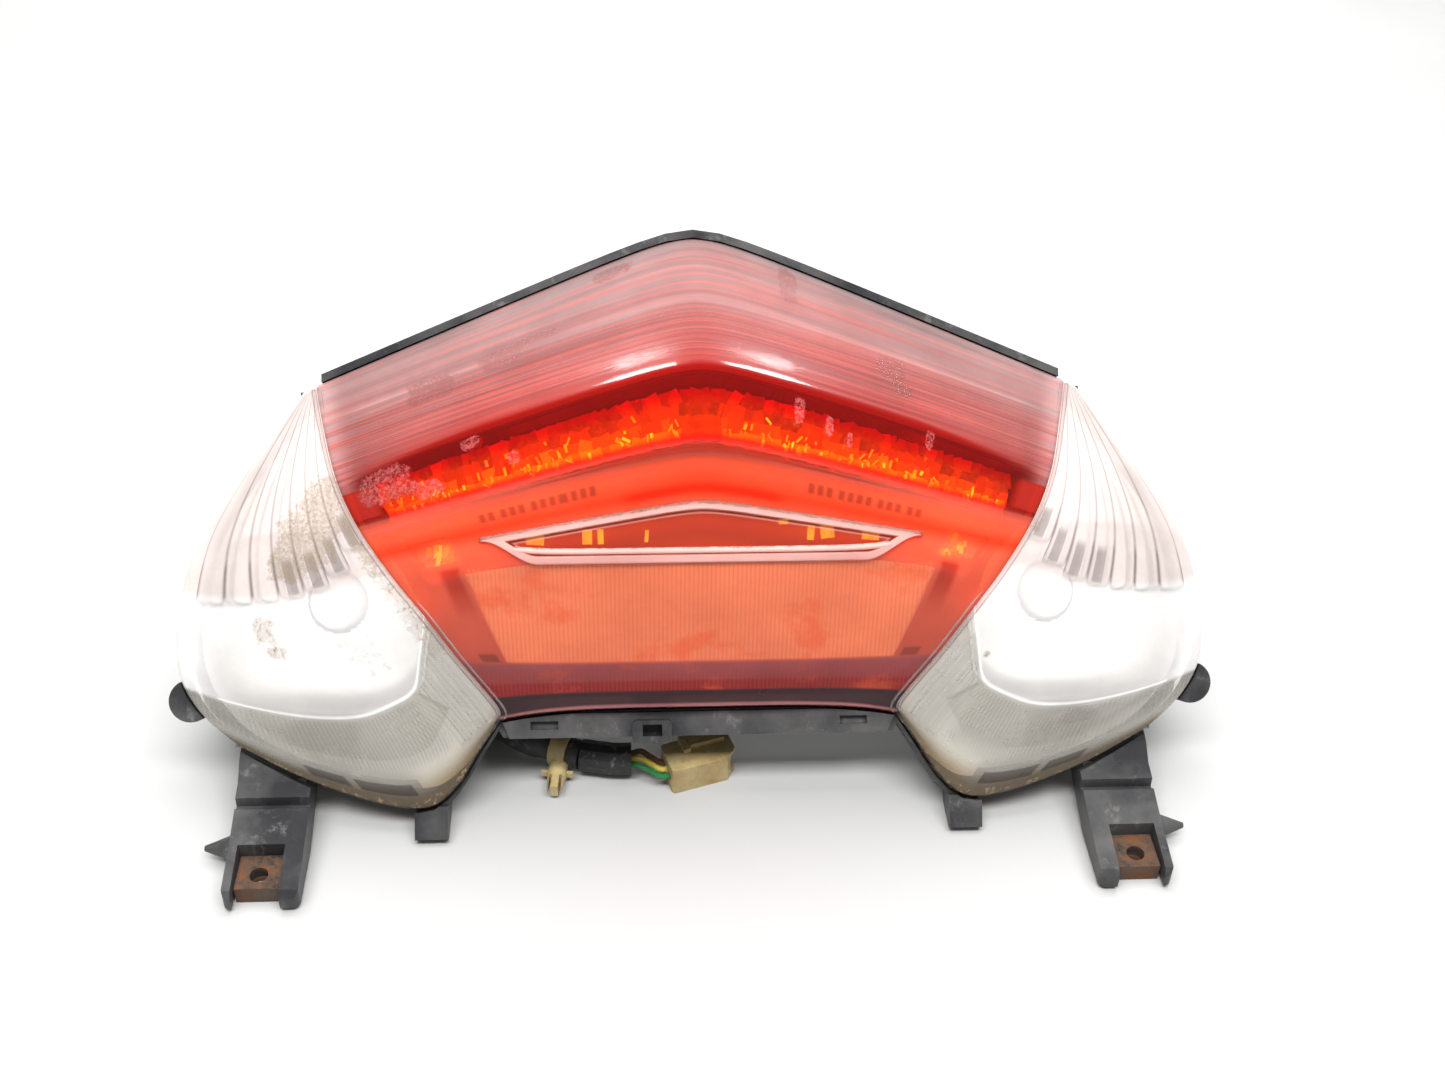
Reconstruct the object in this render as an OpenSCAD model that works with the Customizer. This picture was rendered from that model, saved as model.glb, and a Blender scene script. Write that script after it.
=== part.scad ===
// Rear combination lamp of a scooter: a red tail and brake lens between two clear turn-signal
// lenses, on a black housing with two bracket legs.
//
// Lamp frame: x across, v up and w forward out of the lenses, with w = 0 on the plane where the
// lenses meet the housing. The stand() module turns that frame to rest on its feet and heels.

/* [Stance] */
// How far the lamp leans back when it stands on its feet and heels, in degrees
tilt = 38; // [36:1:40]

/* [Lenses] */
// Wall thickness of the lenses
lens_wall = 2.4; // [2:0.2:3]
// How far the foot flange of a lens stands out
lens_lip = 1.2; // [1:0.2:1.6]
// Height of the raised window ring on the red lens
window_raise = 1.4; // [1:0.2:2]

/* [Housing] */
// Wall thickness of the housing
wall = 2.4; // [2:0.2:2.8]
// Depth of the housing tub behind the lens plane
tub_depth = 34; // [32:1:36]
// Depth of the two bulb pods behind the lens plane
pod_depth = 58; // [56:1:60]
// Thickness of the foam seal between lenses and housing
seal_t = 1.5; // [1.2:0.1:1.8]

/* [Bulbs] */
// Distance of each bulb axis from the middle
bulb_x = 106; // [104:1:108]
// Height of the bulb axes in the lamp frame
bulb_v = -16; // [-18:1:-14]
// Radius of the hole in the housing for a bulb holder
socket_r = 11; // [10:0.5:12]
// Turn that frees a bulb holder, in degrees
holder_turn = 40; // [30:5:45]

/* [Legs] */
// Width of a bracket leg
leg_w = 21; // [20:1:22]
// Radius of the screw hole in a foot clip
foot_hole_r = 2.6; // [2.2:0.1:3]

/* [Lighting] */
// Number of brake LEDs behind the window
brake_leds = 8; // [6:1:9]
// Number of tail LEDs behind the nose band
tail_leds = 14; // [10:2:16]

/* [Hidden] */
$fn = 48;

// Height of the lamp frame's origin above the ground
stand_z = 66;

module stand() {
    translate([0, 0, stand_z]) rotate([-tilt, 0, 0]) children();
}

// Ends of the red lens's rows lie on the seam: [x, v, w] from the shoulder down to the flange
seam = [
    [109, 46, 3], [107, 36, 6], [102, 20, 15], [95, 6, 22], [85, -8, 27],
    [76, -19, 29], [68, -31, 22], [58, -46, 9], [58, -50, 5]
];

// Outer edge of a signal lens, [x, v], at the same stations as the seam
edge = [
    [113, 44], [122, 33], [134, 17], [143, 2], [148, -14], [149.5, -26], [148, -38], [142, -48],
    [133, -56]
];

// Bottom edge of a signal lens, [x, v], from the red flange round the notch to the outer corner
notch = [[58, -50], [64.5, -60], [70, -68.5], [77, -74.5], [86, -74.8], [99, -71.5], [116, -65], [133, -56]];

// Height of the signal lens above the lens plane along its outer and bottom edges
edge_w = 3;

// Rows of the red lens: [v and w on the middle line, seam station, fall-off power, squareness]
rows = [
    [88, 2, 0, 2, 0],           // rim
    [68.5, 20, 1, 2, 0],        // crease
    [58, 31, 1.5, 2, 0],
    [50, 41.5, 1.9, 2, 0],      // brow
    [46, 46, 2.1, 2, 0],
    [36, 49.5, 2.6, 2, 0],      // nose band
    [28.5, 51, 2.95, 2, 0],     // nose edge
    [26.5, 50, 3.05, 2, 0],
    [25.5, 47.5, 3.15, 2.2, 0],
    [23, 44.5, 3.3, 2.6, 0],    // step under the nose
    [12, 43.5, 3.7, 3.2, 0],
    [0, 42, 4.2, 3.5, 0.5],     // window
    [-8, 38.5, 4.7, 3, 1],      // top of the brake panel
    [-21, 30, 5.4, 2, 1],
    [-33.5, 20.5, 6.1, 2, 1],   // foot of the brake panel
    [-41.5, 13.5, 6.75, 2, 1],
    [-44, 12, 7, 2, 1],
    [-47, 9, 8, 2, 1]           // flange
];
ridge_round = 0.09;

// How far the inside of a lens's foot stands out
inner_lip = 0.4;

function mix(a, b, t) = a + (b - a) * t;
function clamp01(t) = max(0, min(1, t));
function smooth(t) = let (u = clamp01(t)) u * u * (3 - 2 * u);
function unit(v) = v / norm(v);

// A smooth curve through the points p, at u from 0 to len(p) - 1
function spline(p, u) =
    let (
        n = len(p),
        i = max(0, min(n - 2, floor(u))),
        t = u - i,
        a = p[max(0, i - 1)],
        b = p[i],
        c = p[i + 1],
        d = p[min(n - 1, i + 2)],
        m0 = (c - a) / 2,
        m1 = (d - b) / 2
    )
    b * (2 * t ^ 3 - 3 * t ^ 2 + 1) + m0 * (t ^ 3 - 2 * t ^ 2 + t)
    + c * (3 * t ^ 2 - 2 * t ^ 3) + m1 * (t ^ 3 - t ^ 2);

// Rounded gable: 0 on the middle line, 1 at the seam
function gable(a) =
    let (q = ridge_round) (sqrt(a * a + q * q) - q) / (sqrt(1 + q * q) - q);

// Red lens surface: a from -1 to 1 across, k along the rows, as [x, v, w]
function red_at(a, k) =
    let (
        r = spline(rows, k),
        s = spline(seam, r[2]),
        f = mix(gable(a), a ^ 4, clamp01(r[4]))
    )
    [a * s[0], mix(r[0], s[1], f), mix(r[1], s[2], abs(a) ^ r[3])];

// Signal lens surface (right side): s along the seam stations, t from seam to outer edge
function clear_at(s, t) =
    let (
        a = spline(seam, s),
        e = spline(edge, s),
        last = len(seam) - 1,
        n = spline(notch, t * (len(notch) - 1)),
        chord = mix([seam[last][0], seam[last][1]], edge[last], t),
        pull = (n - chord) * (s / last) ^ 2.4,
        side = mix([a[0], a[1]], e, t) + pull
    )
    [side[0], side[1], edge_w + (a[2] - edge_w) * (1 - t ^ 2.3) ^ 0.85];

// The point p moved into the lamp by d, towards its inner axis
function inward(p, d) =
    p + d * unit([p[0] * 0.55, p[1] * 0.4 - 8, -30] - p);

// [x, v, w] in the lamp frame as OpenSCAD's x, y, z
function place(p) = [p[0], -p[2], p[1]];

// Triangles of a grid of points with row length c, starting at index o
function grid_faces(r, c, o, flip) = [
    for (i = [0:r - 2], j = [0:c - 2])
        let (a = o + i * c + j, b = a + 1, d = a + c, e = d + 1)
        each (flip ? [[a, d, b], [b, d, e]] : [[a, b, d], [b, e, d]])
];

// Triangles between two runs of indices
function strip_faces(p, q) = [
    for (i = [0:len(p) - 2]) each [[p[i], q[i], p[i + 1]], [p[i + 1], q[i], q[i + 1]]]
];

// Closed sheet between an outer and an inner grid of points, both given in the lamp frame
module sheet(outer, inner) {
    r = len(outer);
    c = len(outer[0]);
    m = r * c;
    top = [for (j = [0:c - 1]) j];
    bottom = [for (j = [0:c - 1]) (r - 1) * c + j];
    left = [for (i = [0:r - 1]) i * c];
    right = [for (i = [0:r - 1]) i * c + c - 1];
    points = [for (row = concat(outer, inner)) each [for (p = row) place(p)]];
    polyhedron(points, concat(
        grid_faces(r, c, 0, false),
        grid_faces(r, c, m, true),
        strip_faces(top, [for (i = top) i + m]),
        strip_faces([for (i = bottom) i + m], bottom),
        strip_faces([for (i = left) i + m], left),
        strip_faces(right, [for (i = right) i + m])
    ));
}

// Rows and columns of the lens grids; each grid gets a foot on the lens plane all round
red_cols = 28;
red_rows = [for (k = [0:0.5:len(rows) - 1]) k];
red_grid = [for (k = red_rows) [for (j = [0:red_cols]) red_at(2 * j / red_cols - 1, k)]];

clear_cols = 14;
clear_steps = 20;
clear_grid = [
    for (i = [0:clear_steps]) [
        for (j = [0:clear_cols]) clear_at((len(seam) - 1) * i / clear_steps, j / clear_cols)
    ]
];

function sunk(grid, d) = [for (row = grid) [for (p = row) inward(p, d)]];

// A row of points moved down to the lens plane and out by lift
function foot_row(row, lift) = [for (p = row) [p[0], p[1] + lift, 0]];

// The grid with a foot row before and after it, standing out by lip
function with_feet(grid, lip) =
    concat([foot_row(grid[0], lip)], grid, [foot_row(grid[len(grid) - 1], -lip)]);

// The grid with a foot column after its last column, standing out by lip
function with_side_foot(grid, lip) = [
    for (row = grid) let (p = row[len(row) - 1]) concat(row, [[p[0] + lip, p[1], 0]])
];

red_outer = with_feet(red_grid, lens_lip);
red_inner = with_feet(sunk(red_grid, lens_wall), inner_lip);
clear_outer = with_side_foot(with_feet(clear_grid, lens_lip), lens_lip);
clear_inner = with_side_foot(with_feet(sunk(clear_grid, lens_wall), inner_lip), inner_lip);

// Outline of the lenses on the lens plane, as [x, v]
function flat_pts(pts) = [for (p = pts) [p[0], p[1]]];
function reversed(pts) = [for (i = [len(pts) - 1:-1:0]) pts[i]];
function mirrored(pts) = [for (p = reversed(pts)) [-p[0], p[1]]];
clear_last = len(clear_outer) - 1;
clear_side = flat_pts(concat(
    [for (j = [1:clear_cols + 1]) clear_outer[0][j]],
    [for (i = [1:clear_last]) clear_outer[i][clear_cols + 1]],
    [for (j = [clear_cols:-1:1]) clear_outer[clear_last][j]]
));
lens_line = concat(
    flat_pts(red_outer[0]), clear_side, reversed(flat_pts(red_outer[len(red_outer) - 1])),
    mirrored(clear_side)
);

module lens_outline() {
    polygon(lens_line);
}

// Raises a 2D shape drawn in x and v between the depths w0 and w1
module plate(w0, w1) {
    translate([0, -w0, 0]) rotate([90, 0, 0]) linear_extrude(w1 - w0) children();
}

// Round bar along w
module rod(x, v, w0, w1, r, r2 = 0) {
    translate([x, -w0, v]) rotate([90, 0, 0]) cylinder(h = w1 - w0, r1 = r, r2 = r2 == 0 ? r : r2);
}

// Runs a profile drawn in w and v across from x0 to x1
module across(x0, x1, profile) {
    translate([x0, 0, 0]) rotate([90, 0, 90]) linear_extrude(x1 - x0)
        polygon([for (p = profile) [-p[0], p[1]]]);
}

// Builds its children on the right, or mirrored on the left
module on_side(side) {
    if (side < 0) mirror([1, 0, 0]) children();
    else children();
}

// Height v of a level h above the ground, at the depth w
function level_v(h, w) = (h - stand_z - w * sin(tilt)) / cos(tilt);

// Everything in the lamp frame that lies above the level h
module above(h) {
    far = 200;
    across(-far, far, [[-far, level_v(h, -far)], [far, level_v(h, far)], [far, far], [-far, far]]);
}

// ---- Housing ----

rim_back = -8;
rim_front = 1;
tub_inset = 5;
tub_level = 13;
cavity_inset = 3.6;
strip_low = -56;
side_inset = 1.4;
ground_gap = 0.3;
roof_half = 108;
notch_half = 78;
pod_front_r = 25;
pod_back_r = 19;
lug_r = 14;
holder_fit = 0.4;

// Rim round the lenses: proud over the roof, in the notches and below the red flange, and behind
// the signal lenses elsewhere
module rim_2d() {
    offset(delta = -side_inset) lens_outline();
    intersection() {
        union() {
            offset(delta = 1) lens_outline();
            translate([0, 1.8]) offset(delta = 0.8) lens_outline();
        }
        translate([-roof_half, 40]) square([2 * roof_half, 60]);
    }
    intersection() {
        offset(delta = 1) lens_outline();
        translate([-notch_half, -90]) square([2 * notch_half, 50]);
    }
    translate([0, -2]) intersection() {
        lens_outline();
        translate([-notch_half, -90]) square([2 * notch_half, 60]);
    }
    polygon([[-57, strip_low], [57, strip_low], [62, -48], [-62, -48]]);
}

module pod(r_front, r_back, w_front, w_back) {
    rod(bulb_x, bulb_v, w_back, w_front, r_back, r_front);
}

// Heel under a pod that the lamp stands on
module heel() {
    w_far = -pod_depth;
    w_near = -pod_depth + 12;
    across(bulb_x - 4, bulb_x + 4, [
        [w_far, bulb_v - 8], [w_far, level_v(0, w_far)], [w_near, level_v(0, w_near)],
        [w_near, bulb_v - 8]
    ]);
}

// Rectangle with rounded corners
module rounded(size, r) {
    offset(r = r) offset(delta = -r) square(size);
}

// Square loop under the red flange that holds a trim panel's tongue
module panel_clip() {
    plate(rim_front, 8) translate([-19.6, -57.6]) rounded([11.4, 6.6], 1.4);
}

module panel_clip_hole() {
    plate(2, 9) translate([-16.6, -55.6]) square([5.6, 3.4]);
}

module peg() {
    intersection() {
        plate(-6, 5) translate([73, -84.5]) square([9.5, 9.5]);
        above(ground_gap + 0.5);
    }
}

module ear() {
    rod(146.5, -43.5, -12, rim_front, 6.2);
}

boss_x = 122;
boss_w = -3.5;
screw_hole_r = 1.6;

module standing_bar(x, w, v0, v1, r) {
    translate([x, -w, v0]) cylinder(h = v1 - v0, r = r);
}

cover_holes = [[-41, -20], [41, -20], [-41, 20], [41, 20]];
grommet_x = -20;
grommet_v = 0;
grommet_r = 7;
breathers = [[-64, 34], [64, 34]];
breather_r = 3;
posts = [[-52, 8], [52, 8]];
board_w = 14;

module housing_solid() {
    intersection() {
        plate(rim_back, rim_front) rim_2d();
        above(ground_gap);
    }
    plate(rim_back, 4) polygon([[-55, strip_low], [55, strip_low], [58, -49], [-58, -49]]);
    intersection() {
        plate(-tub_depth, -6) offset(delta = -tub_inset) lens_outline();
        above(tub_level);
    }
    panel_clip();
    for (side = [-1, 1]) on_side(side) {
        pod(pod_front_r, pod_back_r, -tub_depth + 6, -pod_depth);
        heel();
        peg();
        ear();
    }
}

module housing_hollow() {
    plate(-seal_t, rim_front + 12) offset(delta = 0.3) lens_outline();
    plate(rim_back + wall, 0) offset(delta = -cavity_inset) lens_outline();
    intersection() {
        plate(-tub_depth + wall, 0) offset(delta = -tub_inset - wall) lens_outline();
        above(tub_level + wall);
    }
    panel_clip_hole();
    for (x = [-45, 45]) plate(2, 5) translate([x - 4, -53.5]) square([8, 2.4]);
    for (side = [-1, 1]) on_side(side) {
        pod(pod_front_r - wall, pod_back_r - wall, -tub_depth + 7, -pod_depth + wall);
        rod(bulb_x, bulb_v, -pod_depth - 1, -pod_depth + 5, socket_r);
        for (turn = [0:120:240]) {
            translate([bulb_x, pod_depth + 1, bulb_v]) rotate([90, turn + holder_turn, 0])
                translate([-2.7, 0, 0]) cube([5.4, lug_r + 0.4, wall + 2]);
        }
    }
    rod(grommet_x, grommet_v, -tub_depth - 1, 0, grommet_r - 2);
    for (p = breathers) rod(p[0], p[1], -tub_depth - 1, 0, 1.5);
    for (p = cover_holes) rod(p[0], p[1], -tub_depth - 1, -tub_depth + 8, screw_hole_r);
}

module leg_boss() {
    intersection() {
        plate(rim_back, -seal_t - 1) offset(delta = -side_inset) lens_outline();
        standing_bar(boss_x, boss_w - 1, -70, -54, 4.4);
    }
}

module housing() {
    color("#1b1b1e") stand() difference() {
        union() {
            difference() {
                housing_solid();
                housing_hollow();
            }
            for (p = posts) rod(p[0], p[1], -tub_depth + wall - 0.5, board_w, 3);
            for (p = cover_holes) rod(p[0], p[1], -tub_depth + 0.5, -tub_depth + 9, 3.4);
            for (side = [-1, 1]) on_side(side) leg_boss();
        }
        for (p = cover_holes) rod(p[0], p[1], -tub_depth - 1, -tub_depth + 7, screw_hole_r);
        for (side = [-1, 1]) on_side(side)
            standing_bar(boss_x, boss_w - 1, -75, -56, screw_hole_r);
    }
}

// ---- Bracket legs and feet ----

leg_x = 112;
foot_y = -70;
foot_x = 124;
foot_top = 4.2;
foot_under = 1.3;

foot_front = -78.6;
foot_round = 2.2;
recess_end = -62.4;

// Side view of a leg as [y, z] above the ground
leg_side = [
    [foot_front, foot_under], [foot_front, 5], [-77, 7.2], [-63, 9.4], [-54, 11.6], [-51.4, 12.2],
    [-50.6, 11.6], [-50.4, 10.6], [-48.9, 10.8], [-48.6, 13.8], [-43.5, 14.8], [-38, 18.5], [-24, 23],
    [-20, 18], [-32, 11], [-40, 6.5], [-58, foot_under]
];
leg_inside = [[-58, foot_under + 0.1], [-57, 6.5], [-48, 8.9], [-41, 12], [-26, 17.5], [-22, 8], [-40, 0]];

module side_prism(x0, x1, profile) {
    translate([x0, 0, 0]) rotate([90, 0, 90]) linear_extrude(x1 - x0) polygon(profile);
}

module leg() {
    difference() {
        union() {
            intersection() {
                side_prism(leg_x, leg_x + leg_w, leg_side);
                translate([leg_x, foot_front]) linear_extrude(50) rounded([leg_w, 70], foot_round);
            }
            translate([leg_x + leg_w - 1, -59, 4.6]) rotate([0, 90, 0])
                cylinder(h = 9, r1 = 4.2, r2 = 0.8);
        }
        side_prism(leg_x + wall, leg_x + leg_w - wall, leg_inside);
        translate([foot_x, foot_y, -1]) cylinder(h = 8, r = foot_hole_r + 0.8);
        translate([foot_x - 6.6, -80, -1]) cube([13.2, 6.3, 20]);
        translate([foot_x - 6.6, -80, foot_top]) cube([13.2, 80 + recess_end, 20]);
        stand() plate(-seal_t - 0.05, 20) offset(delta = 1.02) lens_outline();
        stand() plate(-60, -seal_t) offset(delta = 0.02) rim_2d();
        stand() standing_bar(boss_x, boss_w - 1, -90, -50, screw_hole_r + 0.4);
        stand() standing_bar(boss_x, boss_w - 1, -100, -68.5, 3.8);
        stand() plate(-60, rim_back - 0.05) translate([0, -80]) square([200, 160]);
    }
}

module left_bracket_leg() {
    color("#202023") mirror([1, 0, 0]) leg();
}

module right_bracket_leg() {
    color("#202023") leg();
}

// Folded sheet clip with the screw hole, over the front edge of the foot
module foot_clip() {
    difference() {
        translate([foot_x - 6, -75, 0]) cube([12, 12, foot_top + 1.3]);
        translate([foot_x - 7, -73.8, 1.2]) cube([14, 12, foot_top - 1.1]);
        translate([foot_x, foot_y, -1]) cylinder(h = 9, r = foot_hole_r);
    }
}

module left_foot_clip() {
    color("#5a3a26") mirror([1, 0, 0]) foot_clip();
}

module right_foot_clip() {
    color("#5a3a26") foot_clip();
}

module leg_screw() {
    standing_bar(boss_x, boss_w - 1, -70.6, -68.55, 3.4);
    standing_bar(boss_x, boss_w - 1, -68.6, -58, screw_hole_r - 0.02);
}

module leg_screws() {
    color("#8c8c90") stand() for (side = [-1, 1]) on_side(side) leg_screw();
}

// ---- Lenses ----

module red_lens() {
    color("red") stand() sheet(red_outer, red_inner);
}

module signal_lens() {
    color("white", 0.5) stand() sheet(clear_outer, clear_inner);
}

module right_signal_lens() {
    signal_lens();
}

module left_signal_lens() {
    mirror([1, 0, 0]) signal_lens();
}

// Point of the red lens's row k at x, and the row that passes through [x, v]
function face_point(x, k) = red_at(x / spline(seam, spline(rows, k)[2])[0], k);
function face_row(x, v, k, n) =
    n == 0 ? k : face_row(x, v, k + (face_point(x, k)[1] - v) / 11, n - 1);
function face_w(x, v) = face_point(x, face_row(x, v, 11, 8))[2];

window_half = 60;
window_cols = 30;
window_rows = 6;
window_tip_v = 1.4;

// Bottom and top edge of the window at x
function window_low(x) = window_tip_v - 6.4 * (1 - smooth((abs(x) - 44) / 15));
function window_high(x) = window_tip_v + 0.9 + 9.2 * (1 - gable(abs(x) / window_half));
window_top = [
    for (i = [0:window_rows]) [
        for (j = [0:window_cols])
            let (
                x = window_half * (2 * j / window_cols - 1),
                v = mix(window_high(x), window_low(x) - 0.6, i / window_rows)
            )
            [x, v, face_w(x, v) + window_raise]
    ]
];
window_under = [for (row = window_top) [for (p = row) [p[0], p[1], p[2] - window_raise - 0.6]]];

module window_insert() {
    color("pink") stand() sheet(window_top, window_under);
}

module lens_seal() {
    color("#303033") stand() plate(-seal_t, 0) difference() {
        offset(delta = -0.1) lens_outline();
        offset(delta = -3.4) lens_outline();
    }
}

// ---- Light chamber ----

deck_rows = 22;
deck_cols = 16;
deck_span = 0.9;
deck_sink = 8;
deck_step = 2.4;
deck_grid = [
    for (i = [0:deck_rows]) let (k = 0.5 + 3.2 * i / deck_rows, step = (i % 2) * deck_step) [
        for (j = [0:deck_cols])
            inward(red_at(deck_span * (2 * j / deck_cols - 1), k), deck_sink + step)
    ]
];
deck_under = [
    for (i = [0:deck_rows]) let (k = 0.5 + 3.2 * i / deck_rows) [
        for (j = [0:deck_cols])
            inward(red_at(deck_span * (2 * j / deck_cols - 1), k), deck_sink + deck_step + 1.4)
    ]
];

module deck_reflector() {
    color("#c8c8cc") stand() sheet(deck_grid, deck_under);
}

// Middle of the tail LED row at x, a shallow chevron
function tail_v(x) = 35 - 0.27 * (sqrt(x * x + 40) - 6);
tail_xs = [for (i = [0:tail_leds - 1]) 74 * (2 * i / (tail_leds - 1) - 1)];
brake_xs = [for (i = [0:brake_leds - 1]) 48 * (2 * i / (brake_leds - 1) - 1)];
led_w = board_w + 1.6;

module tail_band(half) {
    polygon(concat(
        [for (x = [-80:10:80]) [x, tail_v(x) + half]],
        [for (x = [80:-10:-80]) [x, tail_v(x) - half]]
    ));
}

module led_reflector() {
    color("#d8d8da") stand() difference() {
        plate(led_w + 2.4, led_w + 8) tail_band(6.2);
        for (x = tail_xs) rod(x, tail_v(x), led_w + 2, led_w + 8.2, 2.6, 5);
    }
}

module led_board() {
    color("#2c5a34") stand() plate(board_w, led_w) polygon(concat(
        [for (x = [-80:10:80]) [x, tail_v(x) + 6]],
        [[80, tail_v(80) - 6], [62, -4], [-62, -4], [-80, tail_v(80) - 6]]
    ));
}

module led(x, v) {
    plate(led_w, led_w + 1.2) translate([x - 1.7, v - 1.7]) square(3.4);
    rod(x, v, led_w + 1.2, led_w + 2, 1.3);
}

module tail_led_row() {
    color("orange") stand() for (x = tail_xs) led(x, tail_v(x));
}

module brake_led_row() {
    color("orange") stand() for (x = brake_xs) led(x, 4);
}

optic_t = 2.6;
optic_gap = 6.4;
optic_top = [38.5 - optic_gap, -9.5];
optic_foot = [20.5 - optic_gap, -34.5];

// Fluted diffuser behind the brake panel
module brake_optic() {
    color("salmon") stand() intersection() {
        across(-62, 62, [
            optic_top, optic_foot, [optic_foot[0] - optic_t, optic_foot[1]],
            [optic_top[0] - optic_t, optic_top[1]]
        ]);
        plate(0, 60) polygon([[-61, -8], [61, -8], [49, -36], [-49, -36]]);
    }
}

// ---- Signal chambers ----

bowl_rows = 18;
bowl_cols = 16;
bowl_depth = 30;
reflector_gap = 5;

// How far the reflector dips below the lens at [x, v]: a rounded rectangular bowl
function bowl_dip(x, v) =
    let (
        dx = abs(x - 109) / 33,
        dv = abs(v + 20) / 25,
        d = (dx ^ 4 + dv ^ 4) ^ 0.25
    )
    1 - smooth((d - 0.55) / 0.45);
bowl_grid = [
    for (i = [0:bowl_rows]) [
        for (j = [0:bowl_cols])
            let (
                p = clear_at(0.7 + 6.6 * i / bowl_rows, 0.08 + 0.8 * j / bowl_cols),
                q = inward(p, reflector_gap),
                dip = bowl_dip(q[0], q[1])
            )
            [q[0], q[1], mix(q[2], q[2] - bowl_depth, dip)]
    ]
];
bowl_under = [for (row = bowl_grid) [for (p = row) [p[0], p[1], p[2] - 1.6]]];

module signal_reflector() {
    color("silver") stand() difference() {
        sheet(bowl_grid, bowl_under);
        rod(bulb_x, bulb_v, -30, 10, 10.4);
    }
}

module right_signal_reflector() {
    signal_reflector();
}

module left_signal_reflector() {
    mirror([1, 0, 0]) signal_reflector();
}

// ---- Bulbs and their holders ----

glass_r = 8.6;
glass_w = -21;
base_r = 7.5;
base_back = -52;
base_front = glass_w - 6;
socket_front = -36;
pin_w = -43;

// Turns a profile drawn in radius and w about a bulb's axis
module turned(profile) {
    translate([bulb_x, 0, bulb_v]) rotate([90, 0, 0]) rotate_extrude() polygon(profile);
}

module bulb_glass() {
    turned(concat(
        [[0, base_front], [5.4, base_front], [5.8, glass_w - 3]],
        [for (a = [-40:10:80]) [glass_r * cos(a), glass_w + 8 + glass_r * sin(a)]],
        [[0, glass_w + 8 + glass_r]]
    ));
}

module bulb_base() {
    rod(bulb_x, bulb_v, base_back, base_front, base_r);
    for (turn = [0, 180]) translate([bulb_x, -pin_w, bulb_v]) rotate([0, turn, 0])
        translate([base_r - 0.6, 0, 0]) rotate([0, 90, 0]) cylinder(h = 1.5, r = 1);
}

seal_front = -pod_depth - holder_fit;
seal_back = seal_front - 1.4;
flange_back = seal_back - 3;
holder_back = flange_back - 5.5;
neck_r = socket_r - holder_fit;

module bulb_holder() {
    difference() {
        union() {
            rod(bulb_x, bulb_v, flange_back, seal_back, 14.6);
            rod(bulb_x, bulb_v, seal_back - 0.5, socket_front, neck_r);
            rod(bulb_x, bulb_v, holder_back, flange_back + 0.5, 9);
            for (turn = [0:120:240]) translate([bulb_x, pod_depth - wall - 0.5, bulb_v])
                rotate([90, turn, 0]) translate([-2.3, 0, 0]) cube([4.6, lug_r, 2.2]);
        }
        rod(bulb_x, bulb_v, base_back, 0, base_r + 0.02);
        rod(bulb_x, bulb_v, pin_w - 1.6, pin_w + 1.6, 9);
        plate(holder_back - 1, holder_back + 5) translate([bulb_x - 5, bulb_v - 3]) square([10, 6]);
    }
    for (x = [-2.5, 2.5]) plate(holder_back + 0.6, holder_back + 5.1)
        translate([bulb_x + x - 0.6, bulb_v - 1.6]) square([1.2, 3.2]);
}

module holder_seal() {
    difference() {
        rod(bulb_x, bulb_v, seal_back, seal_front, 14.2);
        rod(bulb_x, bulb_v, seal_back - 1, seal_front + 1, neck_r);
    }
}

module right_bulb_glass() {
    color("white", 0.6) stand() bulb_glass();
}

module left_bulb_glass() {
    color("white", 0.6) stand() mirror([1, 0, 0]) bulb_glass();
}

module right_bulb_base() {
    color("#b9a26a") stand() bulb_base();
}

module left_bulb_base() {
    color("#b9a26a") stand() mirror([1, 0, 0]) bulb_base();
}

module right_bulb_holder() {
    color("#2a2a2c") stand() bulb_holder();
}

module left_bulb_holder() {
    color("#2a2a2c") stand() mirror([1, 0, 0]) bulb_holder();
}

module right_holder_seal() {
    color("#404040") stand() holder_seal();
}

module left_holder_seal() {
    color("#404040") stand() mirror([1, 0, 0]) holder_seal();
}

// ---- Back of the housing ----

cover_t = 2;

// Cover over the back of the LED chamber, with the grommet hole
module rear_cover() {
    color("#26262a") stand() difference() {
        plate(-tub_depth - cover_t, -tub_depth) {
            translate([-47, -21]) square([94, 42]);
            for (p = cover_holes) translate(p) circle(r = 5.5);
        }
        for (p = cover_holes) rod(p[0], p[1], -tub_depth - 3, -tub_depth + 1, screw_hole_r + 0.4);
        rod(grommet_x, grommet_v, -tub_depth - 3, -tub_depth + 1, grommet_r);
    }
}

module cover_screws() {
    color("#9a9a9e") stand() for (p = cover_holes) {
        rod(p[0], p[1], -tub_depth - cover_t - 2, -tub_depth - cover_t, 3.2);
        rod(p[0], p[1], -tub_depth - cover_t - 0.1, -tub_depth + 5.5, screw_hole_r - 0.02);
    }
}

module breather_caps() {
    color("#141416") stand() for (p = breathers) {
        rod(p[0], p[1], -tub_depth - 4, -tub_depth, breather_r + 1, breather_r + 1.6);
    }
}

sleeve_r = 4.5;

module harness_grommet() {
    color("#17171a") stand() difference() {
        union() {
            rod(grommet_x, grommet_v, -tub_depth - cover_t - 0.5, -tub_depth, grommet_r - 0.02);
            rod(grommet_x, grommet_v, -tub_depth - 6, -tub_depth - cover_t, grommet_r, grommet_r + 1.5);
        }
        rod(grommet_x, grommet_v, -tub_depth - 7, -tub_depth + 1, sleeve_r);
    }
}

// ---- Harness, [x, y, z] above the ground ----

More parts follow.
